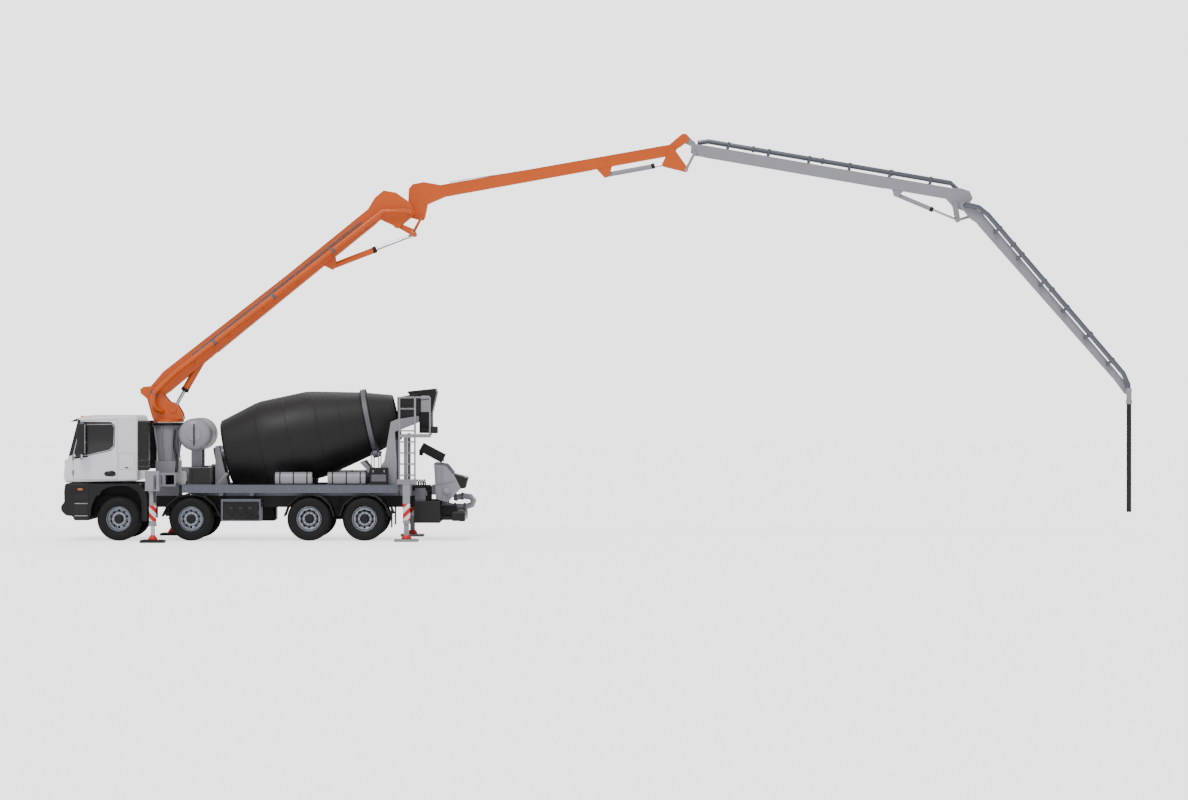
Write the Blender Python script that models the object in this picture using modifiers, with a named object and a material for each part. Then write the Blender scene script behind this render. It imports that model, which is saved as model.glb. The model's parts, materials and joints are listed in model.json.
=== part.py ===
"""Concrete pump truck: an 8x4 truck with a mixer drum, a concrete pump and a four-section placing boom.

Metres, +Z up. The cab looks along -X and the boom reaches along +X. The ground is z = 0, and the
origin is at the middle of the whole machine's length. The truck's left side is -Y.
Four layers across the machine keep the folding boom clear of itself:
  arm 1 and the turret run about y = 0, arms 2 and 3 about BOOM_Y, arm 4 about TIP_ARM_Y.
"""

from math import atan2, cos, hypot, pi, radians, sin

import bmesh
import bpy
from mathutils import Matrix, Vector

# ---------------------------------------------------------------- driving dimensions
TYRE_RADIUS = 0.535
AXLE_X = (-11.74, -9.98, -7.10, -5.75)
TRACK_OUTER_Y = 1.24  # outer tyre faces
SINGLE_TYRE_WIDTH = 0.385
TWIN_TYRE_WIDTH = 0.65
KINGPIN_Y = 0.80

RAIL_Y = (0.38, 0.46)  # chassis rails, inner and outer face
RAIL_Z = (0.80, 1.08)
SUBFRAME_TOP = 1.20
CAB_HALF_WIDTH = 1.15
CAB_WALL = 0.06
BODY_HALF_WIDTH = 1.25
TOUCH = 0.0005  # gap between pieces that rest on each other

SLEW_X = -10.65
RING_Z = 2.88  # split between the fixed and the turning ring
BOOM_Y = 0.43
TIP_ARM_Y = 0.12

# boom pivots at rest, as (x, z): arm 1 to 4 and the tip
PIVOTS = ((-10.98, 3.59), (-4.675, 8.06), (2.085, 9.91), (9.014, 8.226), (13.035, 3.66))

DRUM_FRONT = (-9.215, 2.117)  # middle of the drum's front disc
DRUM_TILT = radians(12)

COLOURS = {
    "orange paint": ((0.65, 0.12, 0.01), 0.35, 0.0),
    "light grey paint": ((0.41, 0.39, 0.45), 0.4, 0.0),
    "white paint": ((0.81, 0.77, 0.88), 0.3, 0.0),
    "charcoal paint": ((0.035, 0.033, 0.036), 0.4, 0.0),
    "dark plastic": ((0.04, 0.04, 0.045), 0.6, 0.0),
    "black steel": ((0.02, 0.02, 0.022), 0.5, 0.2),
    "aluminium": ((0.17, 0.19, 0.23), 0.4, 0.7),
    "chrome": ((0.7, 0.7, 0.72), 0.15, 1.0),
    "rubber": ((0.02, 0.02, 0.02), 0.8, 0.0),
    "seat cloth": ((0.05, 0.05, 0.055), 0.9, 0.0),
}


# ---------------------------------------------------------------- making solids
def clear_scene():
    for old in list(bpy.data.objects):
        bpy.data.objects.remove(old, do_unlink=True)


def new_collection(name):
    collection = bpy.data.collections.new(name)
    bpy.context.scene.collection.children.link(collection)
    return collection


clear_scene()
PARTS = new_collection("concrete_pump_truck")


def paint(name):
    """The plain material of this name, made the first time that it is asked for."""
    if name in bpy.data.materials:
        return bpy.data.materials[name]
    colour, roughness, metallic = COLOURS[name]
    material = bpy.data.materials.new(name)
    material.use_nodes = True
    shader = material.node_tree.nodes["Principled BSDF"]
    shader.inputs["Base Color"].default_value = (*colour, 1.0)
    shader.inputs["Roughness"].default_value = roughness
    shader.inputs["Metallic"].default_value = metallic
    return material


def raw(mesh):
    """A loose object that holds one solid until it is fused into a piece."""
    solid = bpy.data.objects.new("solid", mesh)
    PARTS.objects.link(solid)
    return solid


def from_bmesh(shape):
    mesh = bpy.data.meshes.new("solid")
    shape.to_mesh(mesh)
    shape.free()
    return raw(mesh)


def evaluated_mesh(thing):
    """What the object shows with its modifiers, as a mesh of its own."""
    bpy.context.view_layer.update()
    graph = bpy.context.evaluated_depsgraph_get()
    return bpy.data.meshes.new_from_object(thing.evaluated_get(graph), depsgraph=graph)


def settle(thing):
    """Replace an object by the mesh that its curve or modifiers make, in place and welded."""
    mesh = evaluated_mesh(thing)
    mesh.transform(thing.matrix_world)
    shape = bmesh.new()
    shape.from_mesh(mesh)
    bmesh.ops.remove_doubles(shape, verts=shape.verts, dist=0.00005)
    bmesh.ops.recalc_face_normals(shape, faces=shape.faces)
    bpy.data.objects.remove(thing, do_unlink=True)
    return from_bmesh(shape)


def block(x, y, z, turn=0.0):
    """A box between pairs of values, turned about the Y axis through its middle."""
    low = Vector((min(x), min(y), min(z)))
    high = Vector((max(x), max(y), max(z)))
    place = Matrix.Translation((low + high) / 2) @ Matrix.Rotation(turn, 4, "Y")
    shape = bmesh.new()
    bmesh.ops.create_cube(shape, size=1.0, matrix=place @ Matrix.Diagonal((*(high - low), 1.0)))
    return from_bmesh(shape)


def bar(start, end, radius, end_radius=None, sides=12):
    """A round bar or a cone from one point to another."""
    start = Vector(start)
    along = Vector(end) - start
    place = Matrix.Translation(start + along / 2) @ along.to_track_quat("Z", "Y").to_matrix().to_4x4()
    shape = bmesh.new()
    bmesh.ops.create_cone(
        shape,
        cap_ends=True,
        segments=sides,
        radius1=radius,
        radius2=radius if end_radius is None else end_radius,
        depth=along.length,
        matrix=place,
    )
    return from_bmesh(shape)


def plate(outline, y):
    """A flat outline of (x, z) points, as thick as the pair of y values is apart."""
    curve = bpy.data.curves.new("outline", "CURVE")
    curve.dimensions = "2D"
    curve.fill_mode = "BOTH"
    curve.extrude = abs(y[1] - y[0]) / 2
    spline = curve.splines.new("POLY")
    spline.points.add(len(outline) - 1)
    for point, (x, z) in zip(spline.points, outline):
        point.co = (x, z, 0.0, 1.0)
    spline.use_cyclic_u = True
    thing = bpy.data.objects.new("outline", curve)
    PARTS.objects.link(thing)
    thing.matrix_world = Matrix.Translation((0, sum(y) / 2, 0)) @ Matrix.Rotation(pi / 2, 4, "X")
    return settle(thing)


def tube(points, radius, resolution=2):
    """A pipe or a handle along a line of points."""
    curve = bpy.data.curves.new("tube", "CURVE")
    curve.dimensions = "3D"
    curve.bevel_depth = radius
    curve.bevel_resolution = resolution
    curve.use_fill_caps = True
    spline = curve.splines.new("POLY")
    spline.points.add(len(points) - 1)
    for point, place in zip(spline.points, points):
        point.co = (*place, 1.0)
    thing = bpy.data.objects.new("tube", curve)
    PARTS.objects.link(thing)
    return settle(thing)


def turned(profile, start, along, steps=20):
    """A profile of (radius, height) points turned about a line from start; top first, outer side down."""
    mesh = bpy.data.meshes.new("profile")
    mesh.from_pydata(
        [(radius, 0.0, height) for radius, height in profile],
        [(n, n + 1) for n in range(len(profile) - 1)],
        [],
    )
    thing = raw(mesh)
    screw = thing.modifiers.new("turn", "SCREW")
    screw.steps = screw.render_steps = steps
    screw.use_merge_vertices = True
    screw.merge_threshold = 0.0001
    thing.matrix_world = Matrix.Translation(start) @ Vector(along).to_track_quat("Z", "Y").to_matrix().to_4x4()
    return settle(thing)


def rounded(solid, width, segments=2, angle=radians(40)):
    """Round a solid's sharp edges."""
    bevel = solid.modifiers.new("round", "BEVEL")
    bevel.width = width
    bevel.segments = segments
    bevel.limit_method = "ANGLE"
    bevel.angle_limit = angle
    return settle(solid)


def combine(solids, cuts=()):
    """Join solids into one body, then take the cuts away."""
    body = solids[0]
    for operand in (*solids[1:], *cuts):
        boolean = body.modifiers.new("combine", "BOOLEAN")
        boolean.operation = "DIFFERENCE" if operand in cuts else "UNION"
        boolean.solver = "EXACT"
        boolean.object = operand
    mesh = evaluated_mesh(body)
    for used in (*solids, *cuts):
        bpy.data.objects.remove(used, do_unlink=True)
    return raw(mesh)


def finish(name, finish_name, solids, cuts=(), pivot=(0, 0, 0), frame=None):
    """Fuse solids into the named piece.

    With a frame, the solids are drawn in that frame. Otherwise they are drawn in the machine's own
    frame, and the piece's origin goes to its pivot.
    """
    piece = combine(solids, cuts)
    piece.name = piece.data.name = name
    if frame is None:
        piece.data.transform(Matrix.Translation(-Vector(pivot)))
        piece.location = pivot
    else:
        piece.matrix_world = frame
    piece.data.materials.clear()
    piece.data.materials.append(paint(finish_name))
    piece.data.shade_smooth()
    piece.data.set_sharp_from_angle(angle=radians(30))
    return piece


def arc(centre, radius, start, end, count):
    """Points (x, z) on an arc; angles in degrees from +X towards +Z."""
    turns = [radians(start + (end - start) * n / (count - 1)) for n in range(count)]
    return [(centre[0] + radius * cos(turn), centre[1] + radius * sin(turn)) for turn in turns]


def mirrored(pair):
    """The same span of y on the other side of the machine."""
    return (-pair[1], -pair[0])


def both_sides(pair):
    return (mirrored(pair), pair)


# ---------------------------------------------------------------- chassis
WHEEL_STEPS = 16


def wheel_profile(width):
    """Outline of tyre, rim and hub, as (radius, height) from the inner face, outer side first."""
    hub_depth = width - 0.085
    dish = width - 0.19
    return [
        (0.0, hub_depth),
        (0.115, hub_depth),
        (0.245, dish),
        (0.29, width - 0.01),
        (0.47, width),
        (TYRE_RADIUS, width - 0.07),
    ]


def wheel_inner_side():
    """The wheel's hollow inner side, which goes over the knuckle or the axle end."""
    return [
        (TYRE_RADIUS, 0.07),
        (0.47, 0.0),
        (0.27, 0.01),
        (0.245, 0.14),
        (0.0, 0.14),
    ]


def build_wheel(name, x, side, width):
    profile = wheel_profile(width)
    if width == TWIN_TYRE_WIDTH:
        middle = width / 2
        profile += [(TYRE_RADIUS, middle + 0.05), (0.45, middle), (TYRE_RADIUS, middle - 0.05)]
    profile += wheel_inner_side()
    inner_face = (x, side * (TRACK_OUTER_Y - width), TYRE_RADIUS)
    wheel = turned(profile, inner_face, (0, side, 0), WHEEL_STEPS)
    finish(name, "rubber", [wheel], pivot=inner_face)


def build_wheels():
    for number, x in enumerate(AXLE_X, start=1):
        width = SINGLE_TYRE_WIDTH if number <= 2 else TWIN_TYRE_WIDTH
        for side_name, side in (("left", -1), ("right", 1)):
            build_wheel(f"wheel_{number}_{side_name}", x, side, width)


def build_front_axle(name, x):
    """Forged beam on two leaf springs, with their hangers up to the rails."""
    centre = TYRE_RADIUS
    solids = [block((x - 0.06, x + 0.06), (-0.68, 0.68), (centre - 0.12, centre - 0.01))]
    for side in (-1, 1):
        solids.append(bar((x, side * KINGPIN_Y, centre - 0.09), (x, side * KINGPIN_Y, centre + 0.03), 0.075))
        solids.append(block((x - 0.05, x + 0.05), (side * 0.66, side * 0.80), (centre - 0.07, centre + 0.01)))
    for span in both_sides((0.385, 0.455)):
        solids.append(block((x - 0.14, x + 0.14), span, (centre - 0.06, centre + 0.10)))
        solids.append(block((x - 0.70, x + 0.70), span, (centre + 0.04, centre + 0.12)))
        for end in (-0.66, 0.66):
            hanger = (x + end - 0.05, x + end + 0.05)
            solids.append(block(hanger, span, (centre + 0.06, RAIL_Z[0] - TOUCH)))
    finish(name, "black steel", solids)


def build_knuckle(name, x, side):
    """Fork on the kingpin and the stub that carries the wheel."""
    centre = TYRE_RADIUS
    pin = (x, side * KINGPIN_Y, centre - 0.03)
    solids = [
        block((x - 0.07, x + 0.07), (side * 0.885, side * 0.925), (centre - 0.19, centre + 0.13)),
        block((x - 0.07, x + 0.07), (side * 0.74, side * 0.90), (centre - 0.19, centre - 0.10)),
        block((x - 0.07, x + 0.07), (side * 0.74, side * 0.90), (centre + 0.04, centre + 0.13)),
        bar((x, side * 0.90, centre), (x, side * 0.975, centre), 0.10, sides=16),
    ]
    finish(name, "black steel", solids, pivot=pin)


def build_rear_bogie():
    """Two driven axles with their differentials, joined by the rocking leaf springs."""
    centre = TYRE_RADIUS
    front, back = AXLE_X[2], AXLE_X[3]
    middle = (front + back) / 2
    solids = []
    for x in (front, back):
        solids.append(bar((x, -0.57, centre), (x, 0.57, centre), 0.10))
        solids.append(bar((x - 0.20, 0, centre), (x + 0.20, 0, centre), 0.24, 0.17, sides=14))
        for side in (-1, 1):
            solids.append(bar((x, side * 0.55, centre), (x, side * 0.70, centre), 0.15))
    solids.append(bar((front, 0, centre), (back, 0, centre), 0.05, sides=10))
    for span in both_sides((0.385, 0.455)):
        solids.append(block((front - 0.10, back + 0.10), span, (centre + 0.05, centre + 0.15)))
        solids.append(block((middle - 0.14, middle + 0.14), span, (centre + 0.10, RAIL_Z[0] - TOUCH)))
    finish("rear_bogie", "black steel", solids)


def mudguard(centre, radius, span, start, end):
    """One curved wing over a wheel."""
    outline = arc(centre, radius, start, end, 7) + arc(centre, radius - 0.03, end, start, 7)
    return plate(outline, span)


def build_chassis():
    """Ladder frame with cross members, rear bumper, wings, tanks and the rear light bar."""
    solids = []
    for span in both_sides(RAIL_Y):
        solids.append(block((-12.43, -4.20), span, RAIL_Z))
        solids.append(block((-4.35, -3.52), span, (0.60, 0.84)))
    for x in (-12.37, -10.95, -9.05, -8.2, -6.43, -4.95):
        solids.append(block((x - 0.06, x + 0.06), (-0.42, 0.42), (0.86, 1.02)))
    solids.append(rounded(block((-3.62, -3.30), (-1.15, 1.15), (0.48, 0.70)), 0.03))
    # the wings of the steered axle sit lower and wider, to clear the turned wheel
    wings = [((AXLE_X[1], TYRE_RADIUS - 0.12), 0.75, 0.74, 14, 166, 0.35)]
    wings += [((x, TYRE_RADIUS), 0.625, 0.62, 6, 174, 0.30) for x in AXLE_X[2:]]
    for centre, radius, inner, start, end, foot in wings:
        top = centre[1] + (radius**2 - foot**2) ** 0.5
        for side in (-1, 1):
            span = (side * inner, side * (TRACK_OUTER_Y + 0.005))
            solids.append(mudguard(centre, radius, span, start, end))
            for x in (centre[0] - foot, centre[0] + foot):
                solids.append(block((x - 0.02, x + 0.02), (side * 0.42, side * 0.90), (top - 0.035, top - 0.005)))
    # far side: fuel tank and battery box on their brackets
    solids.append(rounded(block((-9.20, -8.05), (0.62, 1.20), (0.42, 0.98)), 0.06))
    for x in (-9.0, -8.25):
        solids.append(block((x - 0.04, x + 0.04), (0.42, 0.70), (0.82, 0.96)))
    finish("chassis_frame", "black steel", solids)


def build_engine():
    finish("engine", "black steel", [block((-12.30, -11.10), (-0.33, 0.33), (0.66, 1.34))])


def build_air_tank_rack():
    """Near side rack with three air tanks between end plates."""
    solids = [
        block((-9.23, -8.30), (-1.18, -0.74), (0.50, 0.54)),
        block((-9.25, -9.21), (-1.20, -0.62), (0.48, 1.01)),
        block((-8.32, -8.28), (-1.20, -0.62), (0.48, 1.01)),
        block((-9.23, -8.30), (-0.70, -0.64), (0.80, 0.99)),
        block((-9.22, -9.15), (-0.67, -RAIL_Y[1] - TOUCH), (0.86, 0.97)),
        block((-8.38, -8.31), (-0.67, -RAIL_Y[1] - TOUCH), (0.86, 0.97)),
    ]
    for y, z, radius in ((-1.06, 0.68, 0.11), (-1.06, 0.89, 0.08), (-0.85, 0.73, 0.09)):
        solids.append(bar((-9.23, y, z), (-8.30, y, z), radius, sides=12))
    finish("air_tank_rack", "aluminium", solids)


# ---------------------------------------------------------------- cab
CAB_OUTLINE = [
    (-13.10, 1.56),
    (-13.06, 1.42),
    (-11.29, 1.46),
    (-11.29, 3.00),
    (-11.36, 3.055),
    (-12.74, 3.01),
    (-12.98, 2.06),
    (-13.07, 1.90),
]
DOOR_OUTLINE = [(-12.86, 1.50), (-11.78, 1.50), (-11.78, 2.96), (-12.66, 2.93), (-12.86, 2.10)]
WINDOW_OUTLINE = [
    (-12.75, 2.06),
    (-12.50, 2.10),
    (-11.98, 2.22),
    (-11.88, 2.32),
    (-11.86, 2.78),
    (-11.92, 2.84),
    (-12.60, 2.83),
]
DOOR_GAP = 0.006


def shrunk(outline, inset):
    """The outline moved inwards by a distance; a short mitred offset of each corner."""
    count = len(outline)
    area = sum(
        outline[n][0] * outline[(n + 1) % count][1] - outline[(n + 1) % count][0] * outline[n][1]
        for n in range(count)
    )
    sign = 1 if area > 0 else -1
    corners = []
    for n in range(count):
        before, here, after = (Vector(outline[(n + k) % count]) for k in (-1, 0, 1))
        first = (here - before).normalized()
        second = (after - here).normalized()
        inward = Vector((-first.y - second.y, first.x + second.x)) * sign
        inward.normalize()
        half = inward.dot(Vector((-second.y, second.x)) * sign)
        corners.append(tuple(here + inward * inset / max(half, 0.3)))
    return corners


def build_cab():
    """Hollow cab shell with its windscreen, rear window and door openings cut."""
    width = CAB_HALF_WIDTH
    outer = rounded(plate(CAB_OUTLINE, (-width, width)), 0.05)
    inner = plate(shrunk(CAB_OUTLINE, CAB_WALL), (-width + CAB_WALL, width - CAB_WALL))
    slope = atan2(-12.74 + 12.98, 3.01 - 2.06)
    screen = block((-13.10, -12.62), (-0.98, 0.98), (2.13, 2.93), turn=slope)
    rear_window = block((-11.45, -11.15), (-0.55, 0.55), (2.25, 2.75))
    doorways = [
        plate(shrunk(DOOR_OUTLINE, -DOOR_GAP), (side * (width - CAB_WALL - 0.02), side * (width + 0.1)))
        for side in (-1, 1)
    ]
    finish("cab_shell", "white paint", [outer], [inner, screen, rear_window, *doorways])


def build_door(name, side):
    """A door as thick as its wall, with its window cut, handle recess left to the skin, and mirror."""
    outer, inner = side * CAB_HALF_WIDTH, side * (CAB_HALF_WIDTH - CAB_WALL)
    leaf = plate(DOOR_OUTLINE, (inner, outer))
    window = plate(WINDOW_OUTLINE, (side * (CAB_HALF_WIDTH - 0.2), side * (CAB_HALF_WIDTH + 0.2)))
    mirror = rounded(block((-12.73, -12.54), (side * 1.23, side * 1.47), (2.12, 2.86)), 0.03)
    arms = [
        block((-12.66, -12.62), (side * (CAB_HALF_WIDTH - 0.03), side * 1.26), (z, z + 0.04))
        for z in (2.86, 1.98)
    ]
    post = block((-12.66, -12.62), (side * 1.24, side * 1.28), (1.98, 2.90))
    body = combine([leaf], [window])
    finish(name, "white paint", [body, mirror, post, *arms], pivot=(-12.87, side * CAB_HALF_WIDTH, 1.5))


def build_cab_front():
    """Dark lower front: bumper, steps and thin panels round the first axle's arches."""
    front = [
        (-13.05, 1.40),
        (-13.08, 1.20),
        (-13.07, 0.95),
        (-13.15, 0.85),
        (-13.15, 0.74),
        (-13.04, 0.62),
        (-12.86, 0.60),
        (-12.84, 0.50),
        (-12.45, 0.50),
        (-12.45, 1.405),
    ]
    arch = [(-12.60, 0.62), (-12.44, 0.60), (-12.43, 0.80), (-12.30, 1.10), (-12.06, 1.29), (-11.80, 1.345)]
    arch += [(-11.50, 1.335), (-11.28, 1.20), (-11.19, 1.00), (-11.165, 0.48)]
    arch += [(-11.05, 0.48), (-11.05, 1.02), (-11.10, 1.22), (-11.26, 1.398), (-12.60, 1.395)]
    solids = [rounded(plate(front, (-1.24, 1.24)), 0.03, 1)]
    solids += [plate(arch, (side * 1.19, side * 1.235)) for side in (-1, 1)]
    solids.append(block((-12.55, -11.30), (-1.21, 1.21), (1.365, 1.393)))
    finish("cab_front", "dark plastic", solids)


def build_cab_interior():
    """Floor, dashboard, steering wheel and two seats."""
    solids = [
        block((-12.85, -11.40), (-1.05, 1.05), (1.535, 1.58)),
        rounded(block((-12.93, -12.62), (-1.04, 1.04), (1.56, 2.00)), 0.04, 1),
        block((-12.45, -11.55), (-0.22, 0.22), (1.56, 1.72)),
    ]
    for side in (-1, 1):
        y = (side * 0.36, side * 0.86)
        solids.append(block((-12.20, -11.80), (side * 0.45, side * 0.78), (1.56, 1.80)))
        solids.append(rounded(block((-12.26, -11.74), y, (1.78, 1.94)), 0.04, 1))
        solids.append(rounded(block((-11.84, -11.66), y, (1.86, 2.50)), 0.05, 1))
        solids.append(block((-11.81, -11.70), (side * 0.47, side * 0.75), (2.46, 2.70)))
    solids.append(bar((-12.66, -0.61, 1.90), (-12.43, -0.61, 2.06), 0.03))
    solids.append(bar((-12.45, -0.61, 2.045), (-12.43, -0.61, 2.06), 0.21, sides=14))
    finish("cab_interior", "seat cloth", solids)


# ---------------------------------------------------------------- superstructure on the chassis
BEAM_X = {"left": -10.80, "right": -10.50}  # the two front outrigger channels lie side by side
BEAM_HALF = (0.10, 0.11)  # half width along X and half height
BEAM_Z = 1.49
CHANNEL_PLAY = 0.008
FRONT_LEG = (-10.80, 2.25)
REAR_LEG = (-4.705, 1.65)
LEG_HALF = 0.06


def build_pedestal():
    """Front outrigger box with its two channels, feet on the rails, column and fixed slew ring."""
    low_x, high_x = BEAM_X["left"] - 0.14, BEAM_X["right"] + 0.14
    solids = [block((low_x, high_x), (-1.20, 1.20), (1.33, 1.65))]
    for span in both_sides((0.37, 0.47)):
        solids.append(block((low_x, high_x), span, (RAIL_Z[1] + TOUCH, 1.40)))
    solids.append(block((low_x, high_x), (-0.34, 0.34), (1.60, 1.93)))
    solids.append(bar((SLEW_X, 0, 1.90), (SLEW_X, 0, 2.79), 0.25, 0.345, sides=24))
    solids.append(bar((SLEW_X, 0, 2.77), (SLEW_X, 0, RING_Z - 0.005), 0.37, sides=24))
    half_x, half_z = (half + CHANNEL_PLAY for half in BEAM_HALF)
    cuts = [
        block((x - half_x, x + half_x), (-1.5, 1.5), (BEAM_Z - half_z, BEAM_Z + half_z))
        for x in BEAM_X.values()
    ]
    finish("pedestal", "light grey paint", solids, cuts)


def build_front_beam(side_name, side):
    """Outrigger beam that slides out of its channel, with the upright leg tube at its end."""
    beam_x = BEAM_X[side_name]
    half_x, half_z = BEAM_HALF
    x, y = FRONT_LEG[0], side * FRONT_LEG[1]
    solids = [
        block((beam_x - half_x, beam_x + half_x), (side * 0.10, side * 2.16), (BEAM_Z - half_z, BEAM_Z + half_z)),
        block((x - 0.17, beam_x + 0.17), (y - 0.15, y + 0.15), (BEAM_Z - 0.24, BEAM_Z + 0.24)),
        bar((x, y, 0.40), (x, y, BEAM_Z), 0.085, sides=16),
    ]
    bore = bar((x, y, 0.30), (x, y, BEAM_Z + 0.20), 0.056, sides=16)
    finish(f"front_beam_{side_name}", "light grey paint", solids, [bore], pivot=(x, y, BEAM_Z))


def build_front_foot(side_name, side):
    """Leg rod with its cone and ground pad."""
    x, y = FRONT_LEG[0], side * FRONT_LEG[1]
    solids = [
        bar((x, y, 0.08), (x, y, 1.25), 0.05, sides=16),
        bar((x, y, 0.05), (x, y, 0.17), 0.11, 0.055, sides=16),
        block((x - 0.29, x + 0.29), (y - 0.25, y + 0.25), (0.0, 0.06)),
    ]
    finish(f"front_foot_{side_name}", "black steel", solids, pivot=(x, y, 0.0))


def build_rear_foot(side_name, side):
    """Square inner leg of a rear outrigger, with its pad."""
    x, y = REAR_LEG[0], side * REAR_LEG[1]
    solids = [
        block((x - LEG_HALF, x + LEG_HALF), (y - LEG_HALF, y + LEG_HALF), (0.05, 1.02)),
        bar((x, y, 0.05), (x, y, 0.12), 0.12, 0.10, sides=16),
        block((x - 0.29, x + 0.29), (y - 0.25, y + 0.25), (0.0, 0.06)),
    ]
    finish(f"rear_foot_{side_name}", "light grey paint", solids, pivot=(x, y, 0.0))


def build_water_tank():
    """Transverse cylinder with domed ends, on legs from the subframe, over the black oil tank."""
    centre = (-9.92, 2.59)
    dome = [(0.0, 1.06), (0.20, 1.04), (0.32, 0.99), (0.38, 0.93), (0.39, 0.88)]
    profile = dome + [(radius, -height) for radius, height in reversed(dome)]
    solids = [turned(profile, (centre[0], 0, centre[1]), (0, 1, 0), 24)]
    for span in both_sides((0.37, 0.45)):
        solids.append(block((-10.05, -9.80), span, (SUBFRAME_TOP + TOUCH, 2.40)))
    for side in (-1, 1):
        solids.append(block((-10.04, -9.52), (side * 0.40, side * 1.10), (1.37, 1.79)))
    finish("water_tank", "light grey paint", solids)


def build_side_deck():
    """Subframe rails, outer deck rails, cross members, tube covers and the remote control box."""
    solids = []
    for span in both_sides((0.37, 0.45)):
        solids.append(block((-10.05, -4.95), span, (RAIL_Z[1] + TOUCH, SUBFRAME_TOP)))
    for span in both_sides((1.17, 1.25)):
        solids.append(block((-10.20, -4.93), span, (1.17, 1.365)))
    for x in (-9.25, -8.50):
        solids.append(block((x - 0.05, x + 0.05), (-1.20, 1.20), (1.10, 1.185)))
    for x in (-7.10, -6.43, -5.10):
        for side in (-1, 1):
            solids.append(block((x - 0.05, x + 0.05), (side * 0.40, side * 1.20), (1.165, 1.195)))
    for low, high in ((-7.91, -7.05), (-6.63, -5.75)):
        for side in (-1, 1):
            for z in (1.45, 1.60):
                solids.append(bar((low, side * 1.13, z), (high, side * 1.13, z), 0.08, sides=8))
            for x in (low + 0.1, high - 0.1):
                solids.append(block((x - 0.02, x + 0.02), (side * 1.08, side * 1.20), (1.30, 1.60)))
    solids.append(block((-5.62, -5.18), (-1.24, -1.02), (1.36, 1.78)))
    finish("side_deck", "aluminium", solids)


DRUM_AXIS = Vector((cos(DRUM_TILT), 0, sin(DRUM_TILT)))
DRUM_START = Vector((DRUM_FRONT[0], 0, DRUM_FRONT[1]))


def on_drum_axis(distance):
    return DRUM_START + DRUM_AXIS * distance


def build_drum():
    """Mixer drum with its roller ring and open mouth; the wall is a shell."""
    mouth = 4.30
    inside = [(0.0, 0.10), (0.70, 0.10), (1.01, 1.05), (1.01, 2.25), (0.70, 3.55), (0.505, mouth)]
    outside = [
        (0.555, mouth),
        (0.575, mouth - 0.06),
        (0.74, 3.70),
        (0.84, 3.68),
        (0.84, 3.54),
        (0.79, 3.52),
        (1.05, 2.40),
        (1.08, 2.20),
        (1.08, 1.10),
        (1.05, 0.92),
        (0.81, 0.05),
        (0.74, 0.0),
        (0.0, 0.0),
    ]
    drum = turned(inside + outside, DRUM_START, DRUM_AXIS, 28)
    finish("drum", "charcoal paint", [drum], pivot=DRUM_START)


def build_drum_front_stand():
    """Welded stand with the gearbox that turns the drum."""
    outline = [(-9.46, SUBFRAME_TOP + TOUCH), (-9.12, SUBFRAME_TOP + TOUCH), (-9.36, 2.28), (-9.46, 2.28)]
    solids = [plate(outline, (side * 0.38, side * 0.46)) for side in (-1, 1)]
    solids.append(block((-9.46, -9.37), (-0.46, 0.46), (1.55, 2.30)))
    solids.append(bar(on_drum_axis(-0.30), on_drum_axis(-0.008), 0.20, sides=20))
    finish("drum_front_stand", "light grey paint", solids)


def build_drum_rear_stand():
    """A-shaped rear stand with rollers, ladder and platform, on the rear outrigger box."""
    x, y = REAR_LEG
    solids = [block((-4.80, -4.61), (-1.60, 1.60), (1.10, 1.40))]
    for side in (-1, 1):
        solids.append(block((x - 0.085, x + 0.085), (side * (y - 0.085), side * (y + 0.085)), (0.434, 1.413)))
    for span in both_sides((0.37, 0.45)):
        solids.append(block((-4.93, -4.25), span, (RAIL_Z[1] + TOUCH, 1.20)))
    leg = [(-5.50, 1.372), (-4.98, 1.372), (-4.98, 1.90), (-5.02, 2.66), (-4.44, 2.90), (-4.44, 3.05)]
    leg += [(-4.98, 2.96), (-5.12, 2.90), (-5.28, 1.95), (-5.50, 1.60)]
    for side in (-1, 1):
        span = (side * 0.90, side * 0.97)
        solids.append(plate(leg, span))
        solids.append(block((-5.06, -4.66), span, (1.20, 1.45)))
        solids.append(block((-4.80, -4.72), span, (1.20, 2.60)))
    # cross beam under the roller ring, with two support rollers
    solids.append(block((-5.46, -5.36), (-0.97, 0.97), (1.40, 1.56)))
    for side in (-1, 1):
        solids.append(plate([(-5.80, 1.95), (-5.36, 1.42), (-5.44, 1.42), (-5.90, 1.90)][::-1], (side * 0.50, side * 0.62)))
    # platform and ladder on the near side
    solids.append(block((-4.92, -4.14), (-1.20, -0.90), (2.52, 2.60)))
    for stile in (-4.90, -4.52):
        solids.append(tube([(stile, -1.18, 1.42), (stile, -1.18, 3.52)], 0.022))
    for rung in range(8):
        z = 1.60 + rung * 0.27
        solids.append(bar((-4.90, -1.18, z), (-4.52, -1.18, z), 0.014, sides=6))
    solids.append(block((-4.95, -4.48), (-1.25, -1.0), (1.38, 1.50)))
    solids.append(block((-4.95, -4.62), (-1.10, -0.90), (1.20, 1.45)))
    for post in (-4.16, -4.52):
        solids.append(tube([(post, -1.02, 2.56), (post, -1.02, 3.50)], 0.02))
    solids.append(tube([(-4.90, -1.18, 3.50), (-4.16, -1.02, 3.50)], 0.02))
    cuts = [
        block((x - 0.066, x + 0.066), (side * (y - 0.066), side * (y + 0.066)), (0.30, 1.30))
        for side in (-1, 1)
    ]
    cuts.append(block((-4.90, -4.50), (-0.31, 0.31), (1.0, 1.35)))  # the pump's cylinders pass through
    finish("drum_rear_stand", "light grey paint", solids, cuts)


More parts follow.
